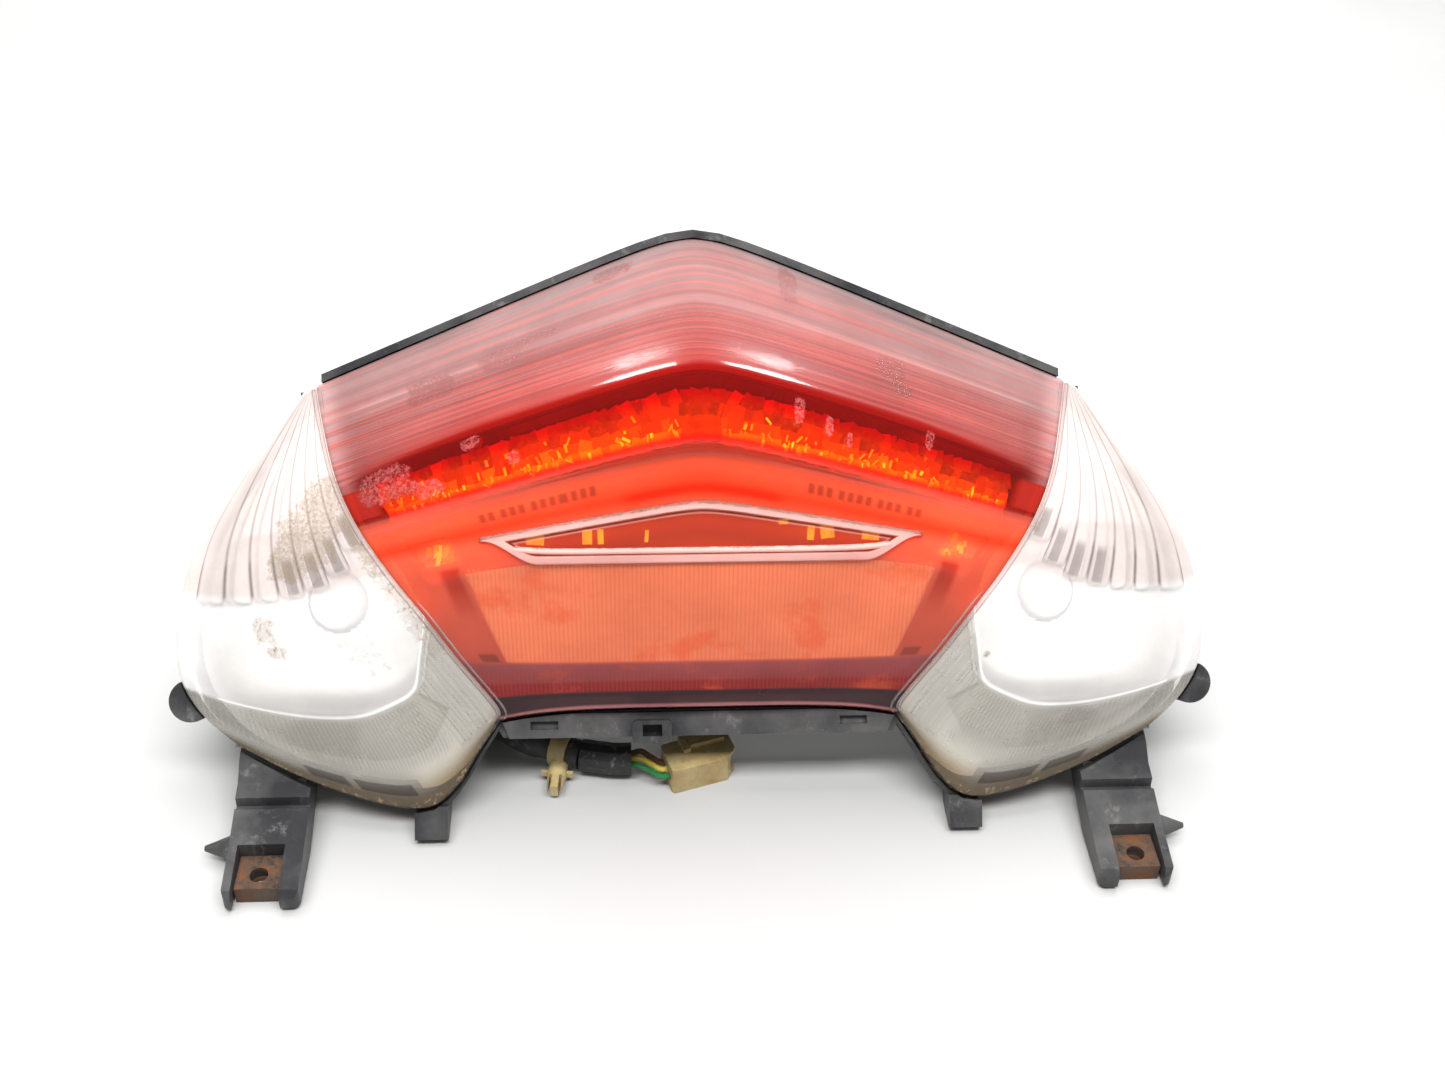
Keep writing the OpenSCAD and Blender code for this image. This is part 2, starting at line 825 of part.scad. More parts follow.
sleeve_route = [
    [-20, 27, 45], [-20, 31, 42], [-20, 38, 36], [-20, 46, 29], [-22, 54, 22], [-27, 61, 15],
    [-35, 65, 9], [-45, 66, 6.5], [-55, 63, 5.5], [-63, 56, 5.5], [-68, 46, 5.5], [-70, 35, 5.5],
    [-70, 23, 5.5], [-69, 11, 5.5], [-66, 0, 5.5], [-61, -10, 5.5], [-53, -18, 5.5],
    [-44, -22, 5.5], [-35, -26, 5.5]
];
end_route = [[-35, -26, 5.5], [-30, -27, 5.5], [-25, -28, 5.5], [-20, -28, 5.5]];
end_sleeve_r = 5;
wire_r = 0.9;
connector_turn = 18;
connector_at = [0, -29, 0];
connector_size = [22, 12, 11];

// Points round a ring of n sides and radius r about p, across the direction d
function ring(p, d, r, n) =
    let (
        side = unit(cross(d, [0.1, 0.05, 1])),
        up = cross(side, d)
    )
    [for (i = [0:n - 1]) p + r * (cos(360 * i / n) * side + sin(360 * i / n) * up)];

// Tube of radius r along the smooth curve through the route, with count rings
module tube(route, r, count, sides) {
    last = len(route) - 1;
    us = [for (i = [0:count - 1]) last * i / (count - 1)];
    rings = [
        for (u = us)
            let (d = unit(spline(route, min(last, u + 0.02)) - spline(route, max(0, u - 0.02))))
            ring(spline(route, u), d, r, sides)
    ];
    points = concat([for (q = rings) each q], [route[0], route[last]]);
    m = count * sides;
    walls = [
        for (i = [0:count - 2], j = [0:sides - 1])
            let (a = i * sides + j, b = i * sides + (j + 1) % sides, c = a + sides, e = b + sides)
            each [[a, b, c], [b, e, c]]
    ];
    caps = [
        for (j = [0:sides - 1]) let (n = (j + 1) % sides, z = (count - 1) * sides)
            each [[m, n, j], [m + 1, z + j, z + n]]
    ];
    polyhedron(points, concat(walls, caps));
}

module harness_sleeve() {
    color("#2c2c2e") tube(sleeve_route, sleeve_r - 0.02, 40, 10);
}

module harness_end_sleeve() {
    color("#161618") tube(end_route, end_sleeve_r, 6, 12);
}

module harness_wires() {
    for (i = [-1:1]) {
        color(["green", "gold", "saddlebrown"][i + 1]) tube([
            [-20, -28 + 2.2 * i, 5.5], [-17, -28.6 + 2.6 * i, 6 + 0.5 * i],
            [-14, -30.6 + 2.9 * i, 5.6], [-11, -32.4 + 2.9 * i, 5.2], [-8, -31.5 + 2.9 * i, 5]
        ], wire_r, 9, 8);
    }
}

// Band round the sleeve with a barbed push-in foot
module cable_clip() {
    at = [-41, -23.3, 5.5];
    color("#e8dc9c") translate(at) rotate([0, 90, -22]) difference() {
        translate([0, 0, -2.6]) cylinder(h = 5.2, r = sleeve_r + 1);
        translate([0, 0, -3]) cylinder(h = 6, r = sleeve_r + 0.1);
    }
    color("#d8b844") translate(at + [-1, -5, -2.2]) rotate([90, 0, -6]) {
        cylinder(h = 3.2, r = 2.9);
        translate([-4.8, -0.9, 2.6]) cube([9.6, 1.8, 1]);
        difference() {
            translate([0, 0, 3]) cylinder(h = 7.4, r1 = 3.1, r2 = 2.1);
            for (x = [-1.9, 1.1]) translate([x, -4, 5.6]) cube([0.8, 8, 4.9]);
        }
    }
}

module in_connector() {
    translate(connector_at) rotate([0, 0, connector_turn]) children();
}

module connector_shell() {
    s = connector_size;
    color("#efe6bd") in_connector() difference() {
        union() {
            translate([1 - s[0] / 2, -s[1] / 2]) linear_extrude(s[2] - 1.6) difference() {
                rounded([s[0] - 1, s[1]], 1.2);
                translate([s[0] - 1, 0]) rotate(45) square(5, center = true);
            }
            translate([-2, s[1] / 2 - 4.6, s[2] - 2]) cube([s[0] / 2, 4.4, 2]);
            translate([-4.4, 0, s[2] - 2]) cube([2.2, s[1] / 2, 2]);
        }
        translate([s[0] / 2 - 13, -s[1] / 2 + 1.4, 1.4]) cube([14, s[1] - 2.8, s[2] - 4.4]);
        for (y = [-3, 0, 3]) translate([-s[0] / 2, y, 5]) rotate([0, 90, 0])
            cylinder(h = 14, r = wire_r + 0.05);
    }
}

module connector_terminals() {
    s = connector_size;
    color("#c9b26b") in_connector() for (y = [-3, 0, 3])
        translate([s[0] / 2 - 13, y - 0.6, 3.9]) cube([9, 1.2, 1.6]);
}

housing();
left_bracket_leg();
right_bracket_leg();
left_foot_clip();
right_foot_clip();
leg_screws();
red_lens();
left_signal_lens();
right_signal_lens();
window_insert();
lens_seal();
deck_reflector();
led_reflector();
brake_optic();
led_board();
tail_led_row();
brake_led_row();
left_signal_reflector();
right_signal_reflector();
left_bulb_glass();
right_bulb_glass();
left_bulb_base();
right_bulb_base();
left_bulb_holder();
right_bulb_holder();
left_holder_seal();
right_holder_seal();
rear_cover();
cover_screws();
breather_caps();
harness_grommet();
harness_sleeve();
harness_end_sleeve();
harness_wires();
cable_clip();
connector_shell();
connector_terminals();
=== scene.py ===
"""Looks of a scooter's rear combination lamp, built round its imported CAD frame.

Shapes are worked out in the lamp frame (x across, v up, w out of the lenses, in millimetres)
and turned to the shared frame in metres by world().
"""
import math

import bmesh
import bpy
import numpy as np
from mathutils import Matrix, Vector

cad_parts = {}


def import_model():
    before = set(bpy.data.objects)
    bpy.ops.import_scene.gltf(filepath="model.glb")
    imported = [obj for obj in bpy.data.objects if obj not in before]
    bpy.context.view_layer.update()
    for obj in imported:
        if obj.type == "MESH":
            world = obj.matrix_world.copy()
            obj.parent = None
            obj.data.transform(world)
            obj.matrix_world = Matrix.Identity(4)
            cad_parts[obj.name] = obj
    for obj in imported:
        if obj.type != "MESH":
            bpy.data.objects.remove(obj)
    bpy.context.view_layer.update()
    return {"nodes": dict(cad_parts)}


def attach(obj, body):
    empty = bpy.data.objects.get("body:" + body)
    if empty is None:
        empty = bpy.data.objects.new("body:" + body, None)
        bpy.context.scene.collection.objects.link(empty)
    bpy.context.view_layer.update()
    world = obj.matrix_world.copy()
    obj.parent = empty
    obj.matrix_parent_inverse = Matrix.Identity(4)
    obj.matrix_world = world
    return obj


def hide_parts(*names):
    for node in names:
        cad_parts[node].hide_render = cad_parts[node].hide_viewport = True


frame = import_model()
scene = bpy.context.scene

MM = 0.001
TILT = math.radians(38)
STAND_Z = 66
BULB = (106, -16)


# ---- The lamp frame, and the lens surfaces that the CAD part has ----

SEAM = np.array([
    [109, 46, 3], [107, 36, 6], [102, 20, 15], [95, 6, 22], [85, -8, 27],
    [76, -19, 29], [68, -31, 22], [58, -46, 9], [58, -50, 5],
], float)
EDGE = np.array([
    [113, 44], [122, 33], [134, 17], [143, 2], [148, -14], [149.5, -26], [148, -38], [142, -48],
    [133, -56],
], float)
NOTCH = np.array([
    [58, -50], [64.5, -60], [70, -68.5], [77, -74.5], [86, -74.8], [99, -71.5], [116, -65], [133, -56],
], float)
# Rows of the red lens: v and w on the middle line, seam station, fall-off power, squareness
ROWS = np.array([
    [88, 2, 0, 2, 0], [68.5, 20, 1, 2, 0], [58, 31, 1.5, 2, 0], [50, 41.5, 1.9, 2, 0],
    [46, 46, 2.1, 2, 0], [36, 49.5, 2.6, 2, 0], [28.5, 51, 2.95, 2, 0], [26.5, 50, 3.05, 2, 0],
    [25.5, 47.5, 3.15, 2.2, 0], [23, 44.5, 3.3, 2.6, 0], [12, 43.5, 3.7, 3.2, 0],
    [0, 42, 4.2, 3.5, 0.5], [-8, 38.5, 4.7, 3, 1], [-21, 30, 5.4, 2, 1], [-33.5, 20.5, 6.1, 2, 1],
    [-41.5, 13.5, 6.75, 2, 1], [-44, 12, 7, 2, 1], [-47, 9, 8, 2, 1],
], float)
RIDGE_ROUND = 0.09
EDGE_W = 3
LENS_WALL = 2.4
LENS_LIP = 1.2
INNER_LIP = 0.4


def world(p):
    """Lamp frame points in millimetres, as points of the shared frame in metres."""
    p = np.asarray(p, float)
    x, v, w = p[..., 0], p[..., 1], p[..., 2]
    s, c = math.sin(TILT), math.cos(TILT)
    return np.stack([x, v * s - w * c, v * c + w * s + STAND_Z], -1) * MM


def mix(a, b, t):
    return a + (b - a) * t


def smooth(t):
    u = np.clip(t, 0, 1)
    return u * u * (3 - 2 * u)


def unit(v):
    return v / np.linalg.norm(v, axis=-1, keepdims=True)


def spline(p, u):
    """Smooth curve through the rows of p, at u from 0 to len(p) - 1."""
    p, u = np.asarray(p, float), np.asarray(u, float)
    n = len(p)
    i = np.clip(np.floor(u).astype(int), 0, n - 2)
    t = (u - i)[..., None]
    a, b, c, d = p[np.maximum(0, i - 1)], p[i], p[i + 1], p[np.minimum(n - 1, i + 2)]
    m0, m1 = (c - a) / 2, (d - b) / 2
    return (b * (2 * t**3 - 3 * t**2 + 1) + m0 * (t**3 - 2 * t**2 + t)
            + c * (3 * t**2 - 2 * t**3) + m1 * (t**3 - t**2))


def gable(a):
    q = RIDGE_ROUND
    return (np.sqrt(a * a + q * q) - q) / (math.sqrt(1 + q * q) - q)


def red_at(a, k):
    """Red lens surface: a from -1 to 1 across, k along the rows."""
    r = spline(ROWS, k)
    s = spline(SEAM, r[..., 2])
    f = mix(gable(a), a**4, np.clip(r[..., 4], 0, 1))
    return np.stack([a * s[..., 0], mix(r[..., 0], s[..., 1], f),
                     mix(r[..., 1], s[..., 2], np.abs(a) ** r[..., 3])], -1)


def clear_at(s, t):
    """Right signal lens surface: s along the seam, t from the seam to the outer edge."""
    s, t = np.broadcast_arrays(np.asarray(s, float), np.asarray(t, float))
    last = len(SEAM) - 1
    a, e = spline(SEAM, s), spline(EDGE, s)
    n = spline(NOTCH, t * (len(NOTCH) - 1))
    t1 = t[..., None]
    chord = mix(SEAM[last, :2], EDGE[last], t1)
    side = mix(a[..., :2], e, t1) + (n - chord) * ((s / last) ** 2.4)[..., None]
    w = EDGE_W + (a[..., 2] - EDGE_W) * (1 - t**2.3) ** 0.85
    return np.concatenate([side, w[..., None]], -1)


def inward(p, d):
    """The points moved into the lamp by d, towards its inner axis."""
    axis = np.stack([p[..., 0] * 0.55, p[..., 1] * 0.4 - 8, np.full(p.shape[:-1], -30.0)], -1)
    return p + np.asarray(d)[..., None] * unit(axis - p)


def face_w(x, v):
    """Height of the red lens's middle face at [x, v]."""
    k = np.full(np.shape(x), 11.0)
    for _ in range(8):
        s = spline(SEAM, spline(ROWS, k)[..., 2])[..., 0]
        k = k + (red_at(x / s, k)[..., 1] - v) / 11
    s = spline(SEAM, spline(ROWS, k)[..., 2])[..., 0]
    return red_at(x / s, k)[..., 2]


# ---- Mesh helpers ----

def mesh_piece(name, verts, faces, body, material, replaces=(), angle=40, layers=None):
    """A closed mesh in the shared frame, riding on a body. layers are values for each vertex."""
    mesh = bpy.data.meshes.new(name)
    mesh.from_pydata([tuple(v) for v in np.asarray(verts, float)], [], [tuple(f) for f in faces])
    for key, values in (layers or {}).items():
        values = np.asarray(values, float)
        kind = "FLOAT" if values.ndim == 1 else "FLOAT_COLOR"
        attribute = mesh.attributes.new(key, kind, "POINT")
        if values.ndim == 1:
            attribute.data.foreach_set("value", values.astype(np.float32))
        else:
            rgba = np.concatenate([values, np.ones((len(values), 1))], 1)
            attribute.data.foreach_set("color", rgba.astype(np.float32).ravel())
    bm = bmesh.new()
    bm.from_mesh(mesh)
    bmesh.ops.recalc_face_normals(bm, faces=bm.faces)
    bm.to_mesh(mesh)
    bm.free()
    mesh.shade_smooth()
    mesh.set_sharp_from_angle(angle=math.radians(angle))
    mesh.materials.append(material)
    piece = bpy.data.objects.new(name, mesh)
    scene.collection.objects.link(piece)
    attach(piece, body)
    if replaces:
        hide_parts(*replaces)
    return piece


def grid_faces(r, c, o):
    return [(o + i * c + j, o + (i + 1) * c + j, o + (i + 1) * c + j + 1, o + i * c + j + 1)
            for i in range(r - 1) for j in range(c - 1)]


def spread(down, across):
    """Two grids of the same size: down changes from row to row, across from column to column."""
    return down[:, None] * np.ones((1, len(across))), across[None] * np.ones((len(down), 1))


def twice(grid):
    """The values of a grid, once for each skin of a closed sheet."""
    return np.concatenate([grid.reshape(-1, *grid.shape[2:])] * 2)


def paint(base, colour, amount):
    """The base colours, moved towards one colour by the amount at each point."""
    return mix(base, np.array(colour, float), amount[..., None])


def closed_sheet(outer, inner):
    """Vertices and faces of a sheet between two grids of points of the same size."""
    r, c = outer.shape[:2]
    m = r * c
    faces = grid_faces(r, c, 0) + [tuple(reversed(f)) for f in grid_faces(r, c, m)]
    ring = ([j for j in range(c)] + [i * c + c - 1 for i in range(1, r)]
            + [(r - 1) * c + j for j in range(c - 2, -1, -1)] + [i * c for i in range(r - 2, 0, -1)])
    for a, b in zip(ring, ring[1:] + ring[:1]):
        faces.append((a, b, b + m, a + m))
    return np.concatenate([outer.reshape(-1, 3), inner.reshape(-1, 3)]), faces


def swept(path, radius, sides=12):
    """Round bar along a path of lamp frame or shared frame points; radius may vary along it."""
    path = np.asarray(path, float)
    n = len(path)
    radius = np.broadcast_to(radius, (n,))
    d = unit(np.gradient(path, axis=0))
    up = np.array([0.1, 0.05, 1.0])
    if abs(np.mean(d @ up)) > 0.9:
        up = np.array([1.0, 0.05, 0.1])
    side = unit(np.cross(d, up))
    other = np.cross(side, d)
    angle = np.arange(sides) * 2 * math.pi / sides
    ring = (np.cos(angle)[None, :, None] * side[:, None] + np.sin(angle)[None, :, None] * other[:, None])
    verts = (path[:, None] + radius[:, None, None] * ring).reshape(-1, 3)
    faces = [(i * sides + j, i * sides + (j + 1) % sides,
              (i + 1) * sides + (j + 1) % sides, (i + 1) * sides + j)
             for i in range(n - 1) for j in range(sides)]
    faces += [tuple(range(sides)), tuple((n - 1) * sides + j for j in reversed(range(sides)))]
    return verts, faces


def turned(profile, centre, steps=48):
    """Lathe about a line along w through centre; the profile is [radius, w] and closes itself."""
    profile = np.asarray(profile, float)
    angle = np.arange(steps) * 2 * math.pi / steps
    r, w = profile[:, 0], profile[:, 1]
    x = centre[0] + r[None] * np.cos(angle)[:, None]
    v = centre[1] + r[None] * np.sin(angle)[:, None]
    verts = np.stack([x, v, np.broadcast_to(w, x.shape)], -1).reshape(-1, 3)
    n = len(profile)
    faces = [(i * n + j, i * n + (j + 1) % n, ((i + 1) % steps) * n + (j + 1) % n,
              ((i + 1) % steps) * n + j) for i in range(steps) for j in range(n)]
    return verts, faces


def joined(parts):
    """Several (verts, faces) as one."""
    verts, faces, start = [], [], 0
    for v, f in parts:
        verts.append(np.asarray(v, float))
        faces += [tuple(i + start for i in face) for face in f]
        start += len(v)
    return np.concatenate(verts), faces


# ---- Materials ----

class Shader:
    """A small node tree: each method adds one node and returns its output socket."""

    def __init__(self, name):
        self.material = bpy.data.materials.new(name)
        self.material.use_nodes = True
        self.tree = self.material.node_tree
        self.tree.nodes.clear()
        self.out = self.tree.nodes.new("ShaderNodeOutputMaterial")
        self.coords = self.tree.nodes.new("ShaderNodeTexCoord").outputs["Object"]

    def node(self, kind, inputs=None, **settings):
        n = self.tree.nodes.new(kind)
        for key, value in settings.items():
            setattr(n, key, value)
        for key, value in (inputs or {}).items():
            if isinstance(value, bpy.types.NodeSocket):
                self.tree.links.new(value, n.inputs[key])
            else:
                n.inputs[key].default_value = value
        return n

    def noise(self, scale, detail=4, roughness=0.6, stretch=None):
        where = self.coords
        if stretch is not None:
            where = self.node("ShaderNodeMapping", {"Vector": where, "Scale": stretch}).outputs[0]
        return self.node("ShaderNodeTexNoise", {
            "Vector": where, "Scale": scale, "Detail": detail, "Roughness": roughness}).outputs[0]

    def flow(self, scale, detail=5, roughness=0.65, stretch=(1, 1, 1)):
        """Noise in the surface's own directions, which the vertex layer "flow" gives."""
        where = self.node("ShaderNodeMapping", {
            "Vector": self.layer("flow", "Vector"), "Scale": stretch}).outputs[0]
        return self.node("ShaderNodeTexNoise", {
            "Vector": where, "Scale": scale, "Detail": detail, "Roughness": roughness}).outputs[0]

    def layer(self, name, kind="Fac"):
        return self.node("ShaderNodeAttribute", attribute_name=name).outputs[kind]

    def remap(self, value, low, high, a=0.0, b=1.0):
        return self.node("ShaderNodeMapRange", {
            "Value": value, "From Min": low, "From Max": high, "To Min": a, "To Max": b}).outputs[0]

    def math(self, operation, a, b=0.5, clamp=False):
        return self.node("ShaderNodeMath", {0: a, 1: b}, operation=operation, use_clamp=clamp).outputs[0]

    def times(self, *factors):
        product = factors[0]
        for factor in factors[1:]:
            product = self.math("MULTIPLY", product, factor)
        return product

    def blend(self, factor, a, b, mode="MIX"):
        n = self.node("ShaderNodeMix", data_type="RGBA", blend_type=mode)
        for key, value in ((0, factor), (6, a), (7, b)):
            if isinstance(value, bpy.types.NodeSocket):
                self.tree.links.new(value, n.inputs[key])
            else:
                n.inputs[key].default_value = value if key == 0 else (*value, 1)
        return n.outputs[2]

    def bump(self, height, distance, strength=1.0):
        return self.node("ShaderNodeBump", {
            "Height": height, "Distance": distance, "Strength": strength}).outputs[0]

    def principled(self, colour, roughness, metallic=0.0, normal=None, **plain):
        inputs = {"Roughness": roughness, "Metallic": metallic}
        inputs["Base Color"] = colour if isinstance(colour, bpy.types.NodeSocket) else (*colour, 1)
        if normal is not None:
            inputs["Normal"] = normal
        for key, value in plain.items():
            inputs[key.replace("_", " ").title().replace("Ior", "IOR")] = value
        return self.node("ShaderNodeBsdfPrincipled", inputs).outputs[0]

    def mix_shader(self, factor, a, b):
        return self.node("ShaderNodeMixShader", {0: factor, 1: a, 2: b}).outputs[0]

    def surface(self, *inputs, **plain):
        return self.done(self.principled(*inputs, **plain))

    def done(self, shader):
        self.tree.links.new(shader, self.out.inputs["Surface"])
        return self.material


def moulded_plastic(name, dark, light, dusty=0.4):
    """Black or grey moulded plastic: fine grain, patchy dust and paler scuffs."""
    s = Shader(name)
    dust = (0.3, 0.29, 0.27)
    large = s.noise(28, 6, 0.65)
    fine = s.noise(900, 3, 0.6)
    scuff = s.remap(s.noise(160, 8, 0.8, stretch=(1, 1, 0.35)), 0.56, 0.7)
    colour = s.blend(large, dark, light)
    colour = s.blend(s.times(s.remap(large, 0.42, 0.72), dusty), colour, dust)
    colour = s.blend(s.times(scuff, 0.35), colour, dust)
    roughness = s.remap(large, 0.3, 0.7, 0.35, 0.6)
    normal = s.bump(fine, 0.0001, 0.5)
    return s.surface(colour, roughness, normal=normal)


def bright_metal(name, colour, rough=(0.12, 0.3), tint=(0.6, 0.55, 0.45), speckle=0.25, metallic=0.92):
    """Vacuum-metallised plastic with a slight haze and small dull spots."""
    s = Shader(name)
    large = s.noise(60, 5, 0.6)
    spots = s.remap(s.noise(700, 4, 0.7), 0.6, 0.72)
    clouded = s.blend(s.remap(large, 0.4, 0.8, 0, 0.5), colour, tint)
    shade = s.blend(s.times(spots, speckle), clouded, tint)
    roughness = s.remap(large, 0.3, 0.7, rough[0], rough[1])
    return s.surface(shade, roughness, metallic=metallic, normal=s.bump(large, 0.0004, 0.25))


def soft_vinyl(name, dark, light, grain=420):
    """Vinyl or rubber with dust in its pores."""
    s = Shader(name)
    large = s.noise(90, 6, 0.7)
    fine = s.noise(grain, 5, 0.7)
    colour = s.blend(large, dark, light)
    colour = s.blend(s.remap(fine, 0.55, 0.8, 0, 0.5), colour, (0.32, 0.3, 0.27))
    return s.surface(colour, s.remap(fine, 0.3, 0.7, 0.45, 0.8), normal=s.bump(fine, 0.0002, 0.6))


def nylon(name, light, stain):
    """Aged nylon: yellowed, with brown dirt in patches."""
    s = Shader(name)
    large = s.noise(110, 6, 0.7)
    fine = s.noise(900, 3, 0.6)
    dirt = s.remap(s.noise(260, 8, 0.75), 0.55, 0.72)
    colour = s.blend(s.remap(large, 0.35, 0.7), light, stain)
    colour = s.blend(s.times(dirt, 0.6), colour, (0.16, 0.1, 0.045))
    return s.surface(colour, s.remap(large, 0.3, 0.7, 0.32, 0.57),
                     normal=s.bump(fine, 0.00008, 0.5), subsurface_weight=0.15,
                     subsurface_radius=(0.002, 0.0015, 0.001))


def rusty_metal(name):
    s = Shader(name)
    large = s.noise(180, 8, 0.75)
    fine = s.noise(1400, 6, 0.8)
    rust = s.remap(large, 0.38, 0.6)
    colour = s.blend(fine, (0.045, 0.024, 0.014), (0.2, 0.075, 0.028))
    colour = s.blend(rust, (0.11, 0.09, 0.075), colour)
    return s.surface(colour, s.remap(rust, 0, 1, 0.45, 0.9), s.remap(rust, 0, 1, 0.8, 0.05),
                     normal=s.bump(fine, 0.0003, 0.7))


def zinc(name, colour=(0.55, 0.55, 0.56)):
    s = Shader(name)
    large = s.noise(300, 6, 0.7)
    shade = s.blend(s.remap(large, 0.4, 0.75, 0, 0.8), colour, (0.24, 0.2, 0.14))
    return s.surface(shade, s.remap(large, 0.3, 0.7, 0.25, 0.5), 0.9,
                     normal=s.bump(large, 0.0001, 0.4))


def lens_plastic(name, wear_scale, dirt_colour, dirt_range, streaked=False):
    """Tinted clear plastic. Vertex layers: tint, haze, veil (its colour), worn (crazed), dirt and line (dark
    lines: joints and marks, and painted shade along flutes and ribs).
    """
    s = Shader(name)
    tint, veil = s.layer("tint", "Color"), s.layer("veil", "Color")
    if streaked:
        streak = s.layer("streak")
        broad = s.remap(s.flow(2.0, 3, 0.5, (0.35, 2.3, 1)), 0.42, 0.58)
        thin = s.remap(s.flow(3.0, 4, 0.6, (0.4, 4.5, 1)), 0.45, 0.60)
        veil = s.blend(s.times(streak, broad, 0.8), veil, (0.30, 0.11, 0.11))
        veil = s.blend(s.times(streak, thin, 0.7), veil, (0.95, 0.20, 0.16))
        across = s.node("ShaderNodeSeparateXYZ", {"Vector": s.layer("flow", "Vector")}).outputs[0]
        ribs = s.math("ABSOLUTE", s.math("SINE", s.times(across, 190.0)))
        # Painted shade in the grooves of the fluted panel.
        groove_shade = s.times(s.layer("fluted"), s.remap(ribs, 0.1, 0.7, 0.38, 0))
        veil = s.blend(groove_shade, veil, (0.60, 0.08, 0.03))
        stain = s.times(s.layer("fluted"), s.remap(s.noise(70, 5, 0.6), 0.56, 0.68, 0, 0.6))
        veil = s.blend(stain, veil, (0.9, 0.10, 0.02))
    haze, dirt, line, worn = s.layer("haze"), s.layer("dirt"), s.layer("line"), s.layer("worn")
    cloud = s.noise(38, 6, 0.65)
    fine = s.noise(wear_scale, 8, 0.75)
    craze = s.remap(s.noise(1000, 6, 0.85), 0.42, 0.56, 0, 1)
    patch = s.remap(s.math("ADD", worn, s.noise(260, 6, 0.75)), 0.98, 1.04)
    haze = s.times(haze, s.remap(cloud, 0.3, 0.75, 0.85, 1.15))
    speck = s.remap(s.noise(1100, 5, 0.8), 0.38, 0.6, 0.1, 1)
    grime = s.remap(s.math("ADD", dirt, s.noise(wear_scale * 0.45, 8, 0.8)), dirt_range[0], dirt_range[1])
    grime = s.math("MULTIPLY", s.times(grime, speck), 0.95, clamp=True)
    crazed = s.times(patch, craze)
    shade = s.blend(line, tint, (0.10, 0.085, 0.085), "MULTIPLY")
    clear = s.node("ShaderNodeBsdfTransparent", {"Color": shade}).outputs[0]
    normal = s.bump(s.math("ADD", fine, s.times(crazed, 2.0)), 0.00006, 0.35)
    gloss = s.principled((0.95, 0.95, 0.95), 0.045, metallic=1.0, normal=normal)
    fresnel = s.node("ShaderNodeFresnel", {"IOR": 1.28}).outputs[0]
    glassy = s.mix_shader(fresnel, clear, gloss)
    mark = s.blend(streak, (0.42, 0.13, 0.13), (0.18, 0.07, 0.06)) if streaked else (0.3, 0.13, 0.11)
    lined = s.blend(line, veil, (0.3, 0.28, 0.28), "MULTIPLY")
    shown = s.blend(s.times(crazed, 0.85), lined, mark)
    body = s.principled(s.blend(grime, shown, dirt_colour), s.remap(grime, 0, 1, 0.3, 0.85), normal=normal)
    cover = s.math("MAXIMUM", s.math("MAXIMUM", haze, s.times(crazed, 0.6)), grime)
    return s.done(s.mix_shader(cover, glassy, body))


def glass(name, tint, amount):
    s = Shader(name)
    cloud = s.noise(120, 5, 0.6)
    shade = s.blend(cloud, tint, tuple(0.9 * c for c in tint))
    clear = s.node("ShaderNodeBsdfTransparent", {"Color": shade}).outputs[0]
    gloss = s.principled((0.95, 0.95, 0.95), 0.03, metallic=1.0)
    fresnel = s.node("ShaderNodeFresnel", {"IOR": 1.25}).outputs[0]
    body = s.principled(tint, 0.2)
    cover = s.remap(cloud, 0.3, 0.8, amount, amount + 0.08)
    return s.done(s.mix_shader(cover, s.mix_shader(fresnel, clear, gloss), body))


def diffuser(name, colour, pale):
    """Milky optic plastic."""
    s = Shader(name)
    cloud = s.noise(45, 5, 0.6)
    fine = s.noise(500, 4, 0.6)
    shade = s.blend(s.remap(cloud, 0.35, 0.7), colour, pale)
    return s.surface(shade, s.remap(fine, 0.3, 0.7, 0.15, 0.35), normal=s.bump(fine, 0.00005, 0.3))


def circuit_board(name):
    s = Shader(name)
    mask = s.node("ShaderNodeTexBrick", {"Vector": s.coords, "Scale": 120.0}).outputs["Fac"]
    colour = s.blend(mask, (0.02, 0.12, 0.045), (0.05, 0.22, 0.08))
    shade = s.blend(s.noise(300), colour, (0.01, 0.07, 0.03))
    return s.surface(shade, s.remap(mask, 0, 1, 0.3, 0.45))


def glowing_led(name):
    # The LED chips are not lit: their emission is a painted glow.
    s = Shader(name)
    ring = s.noise(900, 3, 0.6)
    colour = s.blend(ring, (1.0, 0.42, 0.03), (1.0, 0.7, 0.12))
    return s.surface(colour, s.remap(ring, 0.3, 0.7, 0.15, 0.35),
                     emission_color=(1.0, 0.5, 0.06, 1), emission_strength=0.8)


def pale_floor(name):
    s = Shader(name)
    large = s.noise(5, 6, 0.6)
    colour = s.blend(large, (0.36, 0.36, 0.356), (0.40, 0.40, 0.396))
    normal = s.bump(s.noise(300, 5), 0.0002, 0.3)
    return s.surface(colour, s.remap(large, 0.3, 0.7, 0.55, 0.75), normal=normal)


# ---- Camera, light and floor ----

LENS_MM = 41.107
SENSOR_MM = 36
CAMERA_AT = Vector((-0.01952, -0.3814, 0.36398))
CAMERA_LOOK = Vector((0.05598, 0.78677, -0.61469))
CAMERA_ROLL = math.radians(-0.803)
FLOOR_HALF_M = 6
FILL_WATTS = {"top": 28, "front": 37}
KEY_WATTS = 2.6
KEY_AWAY_M = 1.1
SKY_STRENGTH = 0.38


